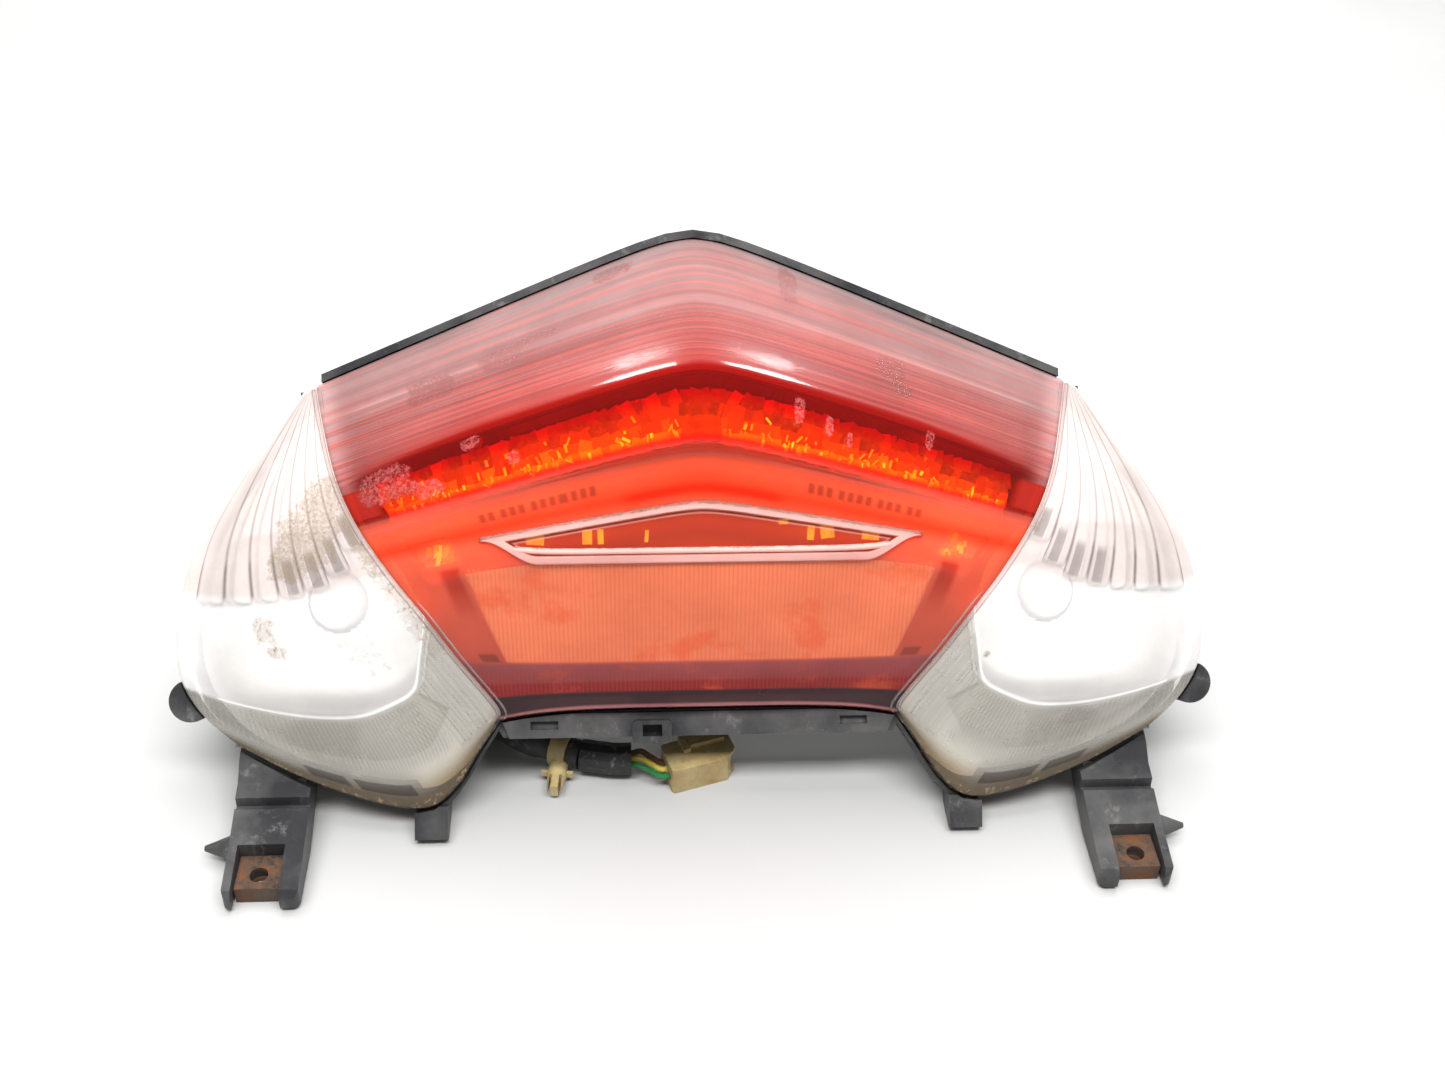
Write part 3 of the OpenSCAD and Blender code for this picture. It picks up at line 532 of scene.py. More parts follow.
def make_camera():
    """Looks along the middle of the lamp, from in front and above, as a hand-held camera does."""
    forward = CAMERA_LOOK.normalized()
    lamp_up = Vector((0, math.sin(TILT), math.cos(TILT)))
    right0 = forward.cross(lamp_up).normalized()
    up0 = right0.cross(forward)
    right = right0 * math.cos(CAMERA_ROLL) + up0 * math.sin(CAMERA_ROLL)
    up = -right0 * math.sin(CAMERA_ROLL) + up0 * math.cos(CAMERA_ROLL)
    data = bpy.data.cameras.new("camera")
    data.lens = LENS_MM
    data.sensor_width = SENSOR_MM
    camera = bpy.data.objects.new("camera", data)
    turn = Matrix((right, up, -forward)).transposed()
    camera.matrix_world = Matrix.Translation(CAMERA_AT) @ turn.to_4x4()
    scene.collection.objects.link(camera)
    scene.camera = camera


def softbox(name, at, aim, size, power, shows=True):
    data = bpy.data.lights.new(name, "AREA")
    data.shape = "RECTANGLE"
    data.size, data.size_y = size
    data.energy = power
    light = bpy.data.objects.new(name, data)
    light.location = at
    light.rotation_euler = (Vector(aim) - Vector(at)).to_track_quat("-Z", "Y").to_euler()
    light.visible_camera = False
    light.visible_glossy = shows
    scene.collection.objects.link(light)


def mirrored(a, k, away):
    """Where a lamp stands to show in the red lens at [a, k], and the point it shows at."""
    step = 0.004
    near = ((a, k), (a + step, k), (a, k + step))
    p, q, r = (Vector(world(red_at(np.array(i), np.array(j)))) for i, j in near)
    normal = (q - p).cross(r - p).normalized()
    if normal.z < 0:
        normal = -normal
    look = (p - CAMERA_AT).normalized()
    return p + look.reflect(normal) * away, p


def make_light():
    sky = bpy.data.worlds.new("studio")
    sky.use_nodes = True
    background = sky.node_tree.nodes["Background"]
    background.inputs["Color"].default_value = (1.0, 0.99, 0.98, 1)
    background.inputs["Strength"].default_value = SKY_STRENGTH
    scene.world = sky
    scene.view_settings.view_transform = "Standard"
    centre = (0, 0, 0.06)
    softbox("top_softbox", (0.0, 0.40, 1.25), centre, (1.7, 1.0), FILL_WATTS["top"], shows=False)
    softbox("front_softbox", (0.0, -0.55, 1.35), centre, (1.5, 0.35), FILL_WATTS["front"], shows=False)
    for word, a, k in (("left_key", -0.14, 3.36), ("right_key", 0.15, 3.34)):
        at, aim = mirrored(a, k, KEY_AWAY_M)
        softbox(word, at, aim, (0.20, 0.22), KEY_WATTS)


def make_floor():
    half = FLOOR_HALF_M
    mesh = bpy.data.meshes.new("floor")
    corners = [(-half, -half, 0), (half, -half, 0), (half, half, 0), (-half, half, 0)]
    mesh.from_pydata(corners, [], [(0, 1, 2, 3)])
    mesh.materials.append(pale_floor("floor"))
    floor = bpy.data.objects.new("floor", mesh)
    scene.collection.objects.link(floor)


make_camera()
make_light()
make_floor()


# ---- Harness: the cords come first, because the model's size depends on them ----

SLEEVE_ROUTE = [
    (-20, 27, 45), (-20, 31, 42), (-20, 38, 36), (-20, 46, 29), (-22, 54, 22), (-27, 61, 15),
    (-35, 65, 9), (-45, 66, 6.5), (-55, 63, 5.5), (-63, 56, 5.5), (-68, 46, 5.5), (-70, 35, 5.5),
    (-70, 23, 5.5), (-69, 11, 5.5), (-66, 0, 5.5), (-61, -10, 5.5), (-53, -18, 5.5),
    (-44, -22, 5.5), (-35, -26, 5.5),
]
SLEEVE_R = 4.48


def spline_path(route, count):
    return spline(np.array(route, float), np.linspace(0, len(route) - 1, count))


def make_sleeve():
    path = spline_path(SLEEVE_ROUTE, 260) * MM
    creases = 1 - 0.035 * (0.5 + 0.5 * np.sin(np.linspace(0, 150, 260))) ** 3
    verts, faces = swept(path, SLEEVE_R * MM * creases, 24)
    vinyl = soft_vinyl("sleeve_vinyl", (0.012, 0.012, 0.013), (0.05, 0.05, 0.052), 300)
    piece = mesh_piece("harness_sleeve_cord", verts, faces, "lamp", vinyl, ["harness_sleeve"])
    return piece, path


sleeve, sleeve_path = make_sleeve()


# ---- The red lens ----

# Per-surface tint, veil colour and haze of the red lens along its rows
RED_ZONES = [
    # k, tint, veil, haze
    (0.0, (0.78, 0.46, 0.45), (0.36, 0.29, 0.285), 0.46),
    (0.97, (0.80, 0.42, 0.40), (0.37, 0.26, 0.255), 0.42),
    (1.05, (0.82, 0.38, 0.36), (0.36, 0.21, 0.205), 0.38),
    (2.2, (0.85, 0.30, 0.28), (0.40, 0.16, 0.155), 0.32),
    (3.0, (0.92, 0.20, 0.16), (0.50, 0.07, 0.06), 0.24),
    (3.7, (0.92, 0.12, 0.06), (0.50, 0.01, 0.005), 0.10),
    (4.55, (0.94, 0.14, 0.05), (0.50, 0.01, 0.005), 0.10),
    (4.75, (0.98, 0.74, 0.40), (0.80, 0.03, 0.005), 0.05),
    (5.8, (0.98, 0.74, 0.40), (0.80, 0.03, 0.005), 0.05),
    (6.1, (0.94, 0.20, 0.12), (0.60, 0.03, 0.015), 0.16),
    (7.0, (0.97, 0.40, 0.22), (0.82, 0.085, 0.035), 0.42),
    (8.2, (0.98, 0.50, 0.30), (0.92, 0.12, 0.05), 0.50),
    (9.3, (0.98, 0.48, 0.28), (0.96, 0.115, 0.045), 0.48),
    (9.75, (0.98, 0.36, 0.16), (1.0, 0.05, 0.01), 0.48),
    (10.2, (0.98, 0.50, 0.32), (0.98, 0.15, 0.07), 0.46),
    (13.95, (0.97, 0.46, 0.32), (0.95, 0.14, 0.08), 0.38),
    (14.05, (0.86, 0.28, 0.26), (0.42, 0.085, 0.09), 0.50),
    (14.55, (0.86, 0.24, 0.22), (0.42, 0.05, 0.055), 0.50),
    (14.65, (0.84, 0.03, 0.04), (0.40, 0.003, 0.006), 0.50),
    (15.05, (0.84, 0.03, 0.04), (0.40, 0.003, 0.006), 0.50),
    (15.15, (0.25, 0.08, 0.10), (0.035, 0.006, 0.01), 0.50),
    (16.5, (0.25, 0.08, 0.10), (0.045, 0.006, 0.01), 0.50),
    (16.7, (0.80, 0.46, 0.46), (0.55, 0.20, 0.20), 0.60),
    (17.0, (0.80, 0.46, 0.46), (0.55, 0.20, 0.20), 0.60),
]
# Crazed and faded patches: row and place across the lens, half lengths along each, in those units
CRAZED = [
    (1.25, -0.70, 0.45, 0.09), (1.05, -0.52, 0.30, 0.07), (0.85, -0.41, 0.10, 0.06), (0.2, -0.22, 0.16, 0.07),
    (0.35, 0.25, 0.40, 0.03), (1.5, 0.52, 0.45, 0.05), (2.1, 0.55, 0.3, 0.03),
    (4.75, -0.88, 0.75, 0.10), (5.4, -0.76, 0.45, 0.05), (4.27, -0.62, 0.25, 0.035),
    (5.12, -0.515, 0.34, 0.022), (4.6, 0.262, 0.5, 0.018), (4.8, 0.345, 0.4, 0.014),
    (5.05, 0.405, 0.3, 0.012), (4.35, 0.627, 0.5, 0.014),
]


def zone_values(k, column):
    ks = [z[0] for z in RED_ZONES]
    values = np.array([z[column] for z in RED_ZONES], float)
    if values.ndim == 1:
        return np.interp(k, ks, values)
    return np.stack([np.interp(k, ks, values[:, c]) for c in range(3)], -1)


def panel_half(v):
    """Half width of the fluted brake panel at v."""
    return mix(64.0, 54.0, np.clip((-7.5 - v) / 26, 0, 1))


def red_layers(a, k, x, v):
    """Vertex layers of the red lens for one grid."""
    side = np.abs(a)
    # The faded roof ends lower down towards the sides
    faded = np.interp(side, [0, 0.2, 0.58, 0.98], [3.1, 3.35, 3.2, 4.2])
    zone = np.where(k < 4.4, np.where(k < faded, k * 3.0 / faded, 3.0 + (k - faded) * 1.4 / (4.4 - faded)), k)
    tint, veil, haze = zone_values(zone, 1), zone_values(zone, 2), zone_values(zone, 3)
    greyed = 0.6 * smooth((side - 0.90) / 0.10) * (k < 4.6)
    veil = paint(veil, (0.50, 0.40, 0.40), greyed)
    haze = haze + 0.25 * smooth((side - 0.93) / 0.07) * (k < 4.6)
    # Beyond the ends of the prism band
    ends = smooth((side - 0.90) / 0.03) * smooth((k - 4.5) / 0.15) * smooth((6.0 - k) / 0.15)
    veil = paint(veil, (0.62, 0.03, 0.015), ends)
    tint = paint(tint, (0.92, 0.16, 0.08), ends)
    haze = mix(haze, 0.34, ends)
    # Crease: a thin painted highlight line that fades at both ends
    crease_highlight = np.exp(-((k - 1.0) / 0.022) ** 2) * smooth((0.97 - side) / 0.1)
    veil = paint(veil, (0.95, 0.85, 0.84), crease_highlight)
    haze = np.maximum(haze, 0.75 * crease_highlight)
    # Salmon panel between its slanted sides
    panel = (smooth((panel_half(v) - np.abs(x)) / 0.8 + 0.5)
             * smooth((k - 11.35) / 0.08) * smooth((14.0 - k) / 0.06))
    veil = paint(veil, (1.0, 0.235, 0.10), panel)
    tint = paint(tint, (0.98, 0.60, 0.48), panel)
    haze = mix(haze, 0.62, panel)
    # Clearer behind the window
    clear = (smooth((window_high(x) - 1.5 - v) / 0.6) * smooth((v - window_low(x) - 1) / 0.6)
             * smooth((WINDOW_HALF - 4 - np.abs(x)) / 1.0) * (k > 9))
    pocket = smooth((0.065 - np.abs(side - 0.835)) / 0.01) * smooth((0.55 - np.abs(k - 10.15)) / 0.08)
    haze = mix(haze, 0.07, clear)
    haze = mix(haze, 0.34, pocket)
    tint = paint(tint, (0.99, 0.90, 0.75), pocket)
    tint = paint(tint, (0.99, 0.965, 0.88), clear)
    # Darker wedge outside the panel
    wedge = (smooth((np.abs(x) - panel_half(v) - 1) / 1.5) * smooth((panel_half(v) + 8 - np.abs(x)) / 2)
             * smooth((k - 10.8) / 0.3) * smooth((13.0 - k) / 1.2) * smooth((0.97 - side) / 0.03))
    veil = paint(veil, (0.62, 0.05, 0.02), wedge)
    tint = paint(tint, (0.9, 0.22, 0.12), wedge)
    dirt = 0.16 * smooth((side - 0.86) / 0.14) * (k > 3) * (k < 12) * (a < 0)
    worn = np.zeros(a.shape)
    for row, place, half_k, half_a in CRAZED:
        slant = 1.1 * (np.abs(a) - abs(place)) if row > 3 else 0
        depth = 0.70 if row < 3 else 0.72
        worn += depth * np.exp(-((k - row - slant) / half_k) ** 4 - ((a - place) / half_a) ** 4)
    line = 0.5 * np.exp(-((side - 1) / 0.006) ** 2)
    squares = (np.abs(side - 0.87) < 0.035) * (np.abs(k - 13.83) < 0.12)
    line = np.maximum(line, 0.6 * squares)
    spaced = np.mod((side - 0.31) / 0.03, 1) < 0.62
    tooth = (side > 0.31) & (side < 0.67) & spaced & (np.abs(k - 9.38) < 0.13)
    line = np.maximum(line, 0.62 * tooth)
    arc = np.exp(-((k - 9.78) / 0.12) ** 2) * smooth((24 - np.abs(x)) / 6)
    veil = paint(veil, (1.0, 0.02, 0.0), arc)
    flow = np.stack([np.where(k < 9, a, x / 72), np.where(k < 9, k, 0), 0 * k], -1)
    fluted = np.maximum(panel, smooth((k - 14.0) / 0.06) * smooth((15.1 - k) / 0.06))
    streak = (smooth((faded + 0.4 - k) / 0.5) * (0.5 + 0.5 * smooth((k - 0.6) / 2))
              + 0.5 * smooth((k - 6.2) / 0.5) * smooth((9.2 - k) / 0.8))
    return {"tint": tint, "veil": veil, "haze": haze, "dirt": dirt, "worn": np.clip(worn, 0, 0.8),
            "line": line, "flow": flow, "fluted": fluted, "streak": streak}


def end_rows(values):
    """A grid with its first and last rows once more."""
    return np.concatenate([values[:1], values, values[-1:]])


def with_feet(grid, lip):
    """A lens's skin, with a foot above and below that goes down to the housing."""
    grid = end_rows(grid)
    grid[0, :, 1] += lip
    grid[-1, :, 1] -= lip
    grid[0, :, 2] = grid[-1, :, 2] = 0
    return grid


def make_red_lens():
    k, a = spread(np.linspace(0, len(ROWS) - 1, 300), np.linspace(-1, 1, 221))
    outer = red_at(a, k)
    inner = inward(outer, np.full(outer.shape[:2], LENS_WALL))
    k, a = end_rows(k), end_rows(a)
    outer, inner = with_feet(outer, LENS_LIP), with_feet(inner, INNER_LIP)
    verts, faces = closed_sheet(outer, inner)
    made = red_layers(a, k, outer[..., 0], outer[..., 1])
    layers = {key: twice(v) for key, v in made.items()}
    plastic = lens_plastic("red_lens", 420, (0.22, 0.13, 0.07), (0.74, 0.86), streaked=True)
    mesh_piece("red_lens_shell", world(verts), faces, "lamp", plastic, ["red_lens"], 35, layers)


WINDOW_HALF = 60
WINDOW_TIP_V = 1.4
WINDOW_RAISE = 1.4


def window_low(x):
    return WINDOW_TIP_V - 6.4 * (1 - smooth((np.abs(x) - 44) / 15))


def window_high(x):
    return WINDOW_TIP_V + 0.9 + 9.2 * (1 - gable(np.abs(x) / WINDOW_HALF))


def make_window():
    """Raised clear ring round the brake light's window; the bead along its foot is made by make_window_bead.
    """
    t, x = spread(np.linspace(0, 1, 64), WINDOW_HALF * np.linspace(-1, 1, 241))
    v = mix(window_high(x), window_low(x) - 0.6, t)
    height = window_high(x) - window_low(x) + 0.6
    rim = np.minimum(np.minimum(t, 1 - t) * height, (WINDOW_HALF - np.abs(x)) * 0.45)
    ring = smooth(rim / 0.5) * (1 - smooth((rim - 2.3) / 0.6))
    inner_ring = np.exp(-((rim - 3.4) / 0.22) ** 2) * (t < 0.7)
    plain = face_w(x, v)
    lift = WINDOW_RAISE * (0.30 + 0.70 * ring)
    outer = np.stack([x, v, plain + lift], -1)
    inner = np.stack([x, v, plain - 0.6], -1)
    verts, faces = closed_sheet(outer, inner)
    upper = (np.exp(-((rim - 0.45) / 0.75) ** 2) + 0.5 * np.exp(-((rim - 2.9) / 0.35) ** 2)) * (t < 0.6)
    white = np.clip(0.85 * ring + 0.6 * inner_ring, 0, 1)
    layers = {
        "tint": np.outer(np.ones(x.size * 2), (0.98, 0.66, 0.56)),
        "veil": twice(paint(np.array([0.90, 0.22, 0.14]), (0.95, 0.70, 0.65), white)),
        "haze": twice(0.06 + 0.48 * white),
        "dirt": np.concatenate([(0.36 * upper).ravel(), 0 * upper.ravel()]),
        "worn": np.zeros(x.size * 2),
        "line": twice(0.5 * upper + 0.25 * np.exp(-((rim - 2.9) / 0.25) ** 2)),
    }
    plastic = lens_plastic("window_clear", 520, (0.17, 0.075, 0.035), (0.70, 0.82))
    mesh_piece("window_ring", world(verts), faces, "lamp", plastic, ["window_insert"], 45,
               layers)


def make_window_bead():
    """Pale bead along the foot of the window, with brown dirt in the groove above it."""
    u = np.linspace(-1, 1, 120)
    x = 50.5 * u
    v = -1.9 + 0.9 * np.abs(u) ** 8
    centre = np.stack([x, v, face_w(x, v) + WINDOW_RAISE * 0.5], -1)
    verts, faces = swept(centre, 0.85, 12)
    m = len(verts)
    up = verts[:, 1] - np.repeat(v, 12)
    groove = smooth((up - 0.1) / 0.5)
    layers = {
        "tint": np.outer(np.ones(m), (0.97, 0.75, 0.70)), "veil": np.outer(np.ones(m), (0.92, 0.58, 0.52)),
        "haze": np.full(m, 0.62), "dirt": 0.26 * groove, "worn": np.zeros(m), "line": 0.15 * groove,
    }
    plastic = lens_plastic("window_bead", 560, (0.15, 0.06, 0.03), (0.66, 0.78))
    mesh_piece("window_bead", world(verts), faces, "lamp", plastic, (), 60, layers)


# ---- Signal lenses ----

FLUTES = 7
FLUTE_T = (0.015, 0.925)
# Where the flutes end: station along the seam at each place across the lens
FLUTE_END_T = [0, 0.083, 0.212, 0.343, 0.642, 1.0]
FLUTE_END_S = [3.05, 3.31, 3.64, 3.80, 3.89, 4.0]


def flute_layout(s, t):
    """How deep the flutes cut, and the painted shade lines along their edges and the painted shade fills at
    their ends.
    """
    u = (t - FLUTE_T[0]) / (FLUTE_T[1] - FLUTE_T[0]) * FLUTES
    inside = (u > 0) & (u < FLUTES)
    index = np.clip(np.floor(u), 0, FLUTES - 1)
    c = 2 * (u - index) - 1
    middle = FLUTE_T[0] + (index + 0.5) * (FLUTE_T[1] - FLUTE_T[0]) / FLUTES
    end = np.interp(middle, FLUTE_END_T, FLUTE_END_S) + 0.10 * (np.sqrt(np.clip(1 - c * c, 0, 1)) - 1) + 0.12
    depth = smooth((end - s) / 0.08) * inside
    # Painted shade along the flute edges, and grey painted shade fills and lines at their ends.
    flute_edge_shade = np.exp(-((np.abs(c) - 1) / 0.13) ** 2) * inside * smooth((end - s) / 0.1)
    near_end = smooth((s - end + 0.75) / 0.2) * smooth((end - 0.06 - s) / 0.06) * inside
    flute_end_shade = near_end * (np.abs(c + 0.15) < 0.45) * (index < 4)
    edge = np.exp(-((s - end + 0.03) / 0.05) ** 2) * inside
    return depth, np.abs(c), flute_edge_shade, near_end, flute_end_shade, edge


def window_edge(t):
    """Station where the signal reflector's window ends, at t across the lens."""
    slant = 4.95 + 6.1 * t
    return 6.07 - 0.5 * np.log1p(np.exp((6.07 - slant) / 0.12)) * 0.24


def with_foot(grid, lip):
    """The same, with a foot along the outer edge too."""
    grid = with_feet(grid, lip)
    outside = grid[:, -1:].copy()
    outside[..., 0] += lip
    outside[..., 2] = 0
    return np.concatenate([grid, outside], 1)


def repeated_ends(values):
    values = end_rows(values)
    return np.concatenate([values, values[:, -1:]], 1)


# Dirt on the left signal lens: station, place across, half lengths, strength
LEFT_DIRT = [(2.5, 0.12, 0.55, 0.18, 0.40), (3.0, 0.33, 0.6, 0.18, 0.38), (3.4, 0.5, 0.3, 0.08, 0.27),
             (4.5, 0.64, 0.35, 0.05, 0.32), (4.95, 0.62, 0.12, 0.05, 0.32), (4.4, 0.04, 1.8, 0.06, 0.27),
             (4.9, 0.3, 0.3, 0.1, 0.17), (5.4, 0.3, 0.3, 0.1, 0.17)]
RIGHT_DIRT = [(5.7, 0.15, 0.06, 0.012, 0.6), (3.0, 0.03, 0.4, 0.04, 0.22)]


def make_signal_lens(side, name):
    s, t = spread(np.linspace(0, len(SEAM) - 1, 320), np.linspace(0, 1, 231))
    outer = clear_at(s, t)
    depth, c, flute_edge_shade, near_end, flute_end_shade, edge = flute_layout(s, t)
    window = window_edge(t)
    ridges = np.abs(np.sin((t - 0.06) / 0.034 * math.pi)) * (t > 0.06) * (t < 0.196)
    ridges *= smooth((s - window - 0.05) / 0.15) * smooth((7.35 - s) / 0.3)
    wall = LENS_WALL - depth * (0.1 + 1.1 * np.sqrt(np.clip(1 - c * c, 0, 1))) - 1.0 * ridges
    inner = inward(outer, wall)
    outer, inner = with_foot(outer, LENS_LIP), with_foot(inner, INNER_LIP)
    s, t, depth, flute_edge_shade, near_end, flute_end_shade, edge, ridges, window = (
        repeated_ends(x) for x in (s, t, depth, flute_edge_shade, near_end, flute_end_shade, edge, ridges, window))
    below = smooth((s - window) / 0.15)
    low = smooth((s - 7.1) / 0.7)
    fluted = smooth((4.0 - s) / 0.2)
    tint = paint(np.array([0.985, 0.98, 0.97]), (0.975, 0.965, 0.94), below)
    tint = paint(tint, (0.955, 0.935, 0.925), fluted)
    tint = paint(tint, (0.74, 0.66, 0.52), low)
    veil = paint(np.array([0.97, 0.95, 0.94]), (0.86, 0.83, 0.76), below)
    veil = paint(veil, (0.26, 0.21, 0.15), low)
    veil = paint(veil, (0.70, 0.62, 0.59), fluted)
    # Painted shade along the flute edges.
    veil = paint(veil, (0.50, 0.40, 0.38), 0.8 * fluted * flute_edge_shade)
    # Painted shade on the flanks of the ribs below the window.
    rib_flank_shade = (1 - np.abs(2 * ridges - 1)) * 0.5
    # Here the line layer is mostly painted shade: flute edges and ends, rib flanks and sill ribs.
    line = 0.34 * flute_edge_shade + 0.42 * flute_edge_shade * near_end + 0.55 * flute_end_shade + 0.25 * edge + 0.35 * rib_flank_shade
    # Painted shade over the sill's ribs, seen through the lens.
    sill = smooth((s - 6.16) / 0.06) * smooth((7.2 - s) / 0.25) * smooth((t - 0.22) / 0.02)
    ribs = 0.5 + 0.5 * np.cos((t - 0.06 * (s - 6.1)) / 0.0155 * 2 * math.pi)
    line = line + 0.16 * sill * ribs
    bead = np.exp(-((s - window - 0.04) / 0.035) ** 2) * (t < 0.9)
    block = (s > 7.38) & (s < 7.66) & (t > 0.46) & (t < 0.80) & (np.abs(t - 0.68) > 0.012)
    veil = paint(veil, (1.0, 1.0, 1.0), bead)
    line = line * (1 - bead) + 0.75 * block
    line = np.clip(line + 0.4 * np.exp(-((s - 8) / 0.05) ** 2), 0, 1)
    dirt = 0.20 * smooth((s - 7.6) / 0.3)
    for row, place, half_s, half_t, strength in (LEFT_DIRT if side < 0 else RIGHT_DIRT):
        dirt = dirt + strength * np.exp(-((s - row) / half_s) ** 4 - ((t - place) / half_t) ** 4)
    haze = 0.34 - 0.06 * below + 0.1 * smooth((3 - s) / 3) + 0.35 * smooth((t - 0.80) / 0.2) * (1 - below)
    haze = np.maximum(haze + 0.12 * fluted, 0.8 * bead)
    verts, faces = closed_sheet(outer, inner)
    verts = verts * [side, 1, 1]
    layers = {
        "tint": twice(tint),
        "veil": twice(veil),
        "haze": np.concatenate([haze.ravel(), 0.3 * haze.ravel()]),
        "dirt": np.concatenate([dirt.ravel(), 0 * dirt.ravel()]),
        "worn": np.zeros(verts.shape[0]),
        "line": twice(line),
    }
    plastic = lens_plastic(name + "_plastic", 620, (0.20, 0.14, 0.08), (0.68, 0.76))
    mesh_piece(name + "_shell", world(verts), faces, "lamp", plastic, [name], 50, layers)


def make_ribbed_sill(side, word):
    """Fine slanted ribs under the window of a signal lens, just inside it."""
    ribs = 42
    across = ribs * 6 + 1
    down = np.linspace(0, 1, 16)
    f, t = spread(down, np.linspace(0.24, 0.90, across))
    s = 6.14 + f * np.interp(t, [0.24, 0.4, 0.9], [0.40, 0.75, 1.0])
    t_slanted = np.clip(t - 0.05 * f, 0, 1)
    f, rib = spread(down, np.abs(np.sin(np.linspace(0, ribs * math.pi, across))))
    top = inward(clear_at(s, t_slanted), LENS_WALL + 1.5 - 0.9 * rib)
    under = inward(clear_at(s, t_slanted), np.full(s.shape, LENS_WALL + 2.4))
    verts, faces = closed_sheet(top, under)
    m = Shader(word + "_sill_metal")
    cloud = m.noise(90, 5, 0.6)
    # Painted shade: the rib valleys are painted darker than their crests.
    shade = m.blend(m.layer("rib"), (0.62, 0.58, 0.52), m.blend(cloud, (0.88, 0.85, 0.80), (1.0, 0.98, 0.95)))
    metal = m.surface(shade, m.remap(cloud, 0.3, 0.7, 0.25, 0.4), metallic=0.3)
    layers = {"rib": twice(rib)}
    verts = world(verts * [side, 1, 1])
    mesh_piece(word + "_ribbed_sill", verts, faces, "lamp", metal, (), 25, layers)


def make_window_rim(side, word):
    """Bright rounded rim round the foot of a signal reflector's window."""
    t = np.concatenate([np.linspace(0.015, 0.30, 70), np.linspace(0.305, 0.90, 60)])
    path = inward(clear_at(window_edge(t), t), np.full(t.shape, LENS_WALL + 1.0))
    verts, faces = swept(path, 0.85, 12)
    metal = bright_metal(word + "_rim_metal", (0.98, 0.98, 0.97), (0.2, 0.35), (0.9, 0.9, 0.88), 0.05, 0.3)
    verts = world(verts * [side, 1, 1])
    mesh_piece(word + "_window_rim", verts, faces, "lamp", metal, (), 60)


def make_seam_beads():
    """Clear beads along both seams, where the clear lenses lap over the red one."""
    u = np.linspace(0.1, 7.9, 160)
    path = spline(SEAM, u)
    beads = []
    for side in (-1, 1):
        for shift, r in ((0.9, 0.62), (-1.5, 0.40)):
            line = path + np.stack([np.full(len(u), shift), 0 * u, np.full(len(u), 0.1)], 1)
            verts, faces = swept(line, r, 10)
            beads.append((verts * [side, 1, 1], faces))
    verts, faces = joined(beads)
    clear = glass("seam_bead", (0.93, 0.82, 0.80), 0.12)
    mesh_piece("seam_beads", world(verts), faces, "lamp", clear)


make_red_lens()
make_window()
make_window_bead()
for side, word in ((-1, "left"), (1, "right")):
    make_signal_lens(side, word + "_signal_lens")
    make_ribbed_sill(side, word)
    make_window_rim(side, word)
make_seam_beads()


# ---- Inside the red lens ----

def painted_reflection_metal(name):
    """Mirror terraces with painted reflections: long pale and dark streaks along the steps, and painted shade
    on the risers.
    """
    s = Shader(name)
    broad = s.flow(3.0, 4, 0.6, (0.9, 4.5, 1))
    thin = s.flow(7.0, 6, 0.7, (0.6, 9.0, 1))
    step = s.layer("step")
    colour = s.blend(s.remap(broad, 0.38, 0.62), (0.20, 0.13, 0.14), (0.95, 0.78, 0.74))
    colour = s.blend(s.remap(thin, 0.40, 0.62, 0.75, 0), colour, (0.16, 0.08, 0.09))
    # Painted shade on the risers, from the step layer.
    colour = s.blend(s.times(step, 0.75), colour, (0.10, 0.03, 0.035))
    return s.surface(colour, s.remap(thin, 0.3, 0.7, 0.2, 0.4), metallic=0.5)


def make_deck_reflector():
    """Terraced mirror under the faded roof of the lens: chevron steps seen through it."""
    steps = 13
    k, a = spread(np.linspace(0.22, 3.75, 190), 0.94 * np.linspace(-1, 1, 161))
    phase = (k - 0.22) / 3.53 * steps
    saw = phase - np.floor(phase)
    lift = np.where(saw < 0.7, saw / 0.7, (1 - saw) / 0.3)
    top = inward(red_at(a, k), 5.0 + 3.2 * lift)
    under = inward(red_at(a, k), np.full(k.shape, 9.6))
    verts, faces = closed_sheet(top, under)
    # The risers get painted shade through the step layer.
    riser_shade = smooth((saw - 0.62) / 0.1) * smooth((1 - saw) / 0.08)
    layers = {"flow": twice(np.stack([a, k, 0 * k], -1)), "step": twice(riser_shade)}
    metal = painted_reflection_metal("deck_metal")
    mesh_piece("deck_reflector_steps", world(verts), faces, "lamp", metal, ["deck_reflector"],
               30, layers)


def tail_v(x):
    return 35 - 0.27 * (np.sqrt(np.asarray(x, float) ** 2 + 40) - 6)


TAIL_XS = 74 * (2 * np.arange(14) / 13 - 1)


def led_cup(x, v, half_x, half_v, w_low, w_high):
    """One faceted square cup: a ring of slanted mirror facets round a small square floor."""
    segments, inner, n = 3, 2.3, 8
    verts = []
    for i in range(segments + 1):
        f = i / segments
        hx, hv = mix(inner, half_x, f ** 0.7), mix(inner, half_v, f ** 0.7)
        w = mix(w_low, w_high, f ** 1.5)
        low = w - 0.35
        verts += [(x - hx, v - hv, w), (x, v - hv, low), (x + hx, v - hv, w), (x + hx, v, low),
                  (x + hx, v + hv, w), (x, v + hv, low), (x - hx, v + hv, w), (x - hx, v, low)]
    verts += [(p[0], p[1], w_low - 1.0) for p in verts[-n:]]
    faces = [(i * n + j, i * n + (j + 1) % n, (i + 1) * n + (j + 1) % n, (i + 1) * n + j)
             for i in range(segments + 1) for j in range(n)]
    faces.append(tuple(reversed(range(n))))
    faces.append(tuple((segments + 1) * n + j for j in range(n)))
    return np.array(verts, float), faces


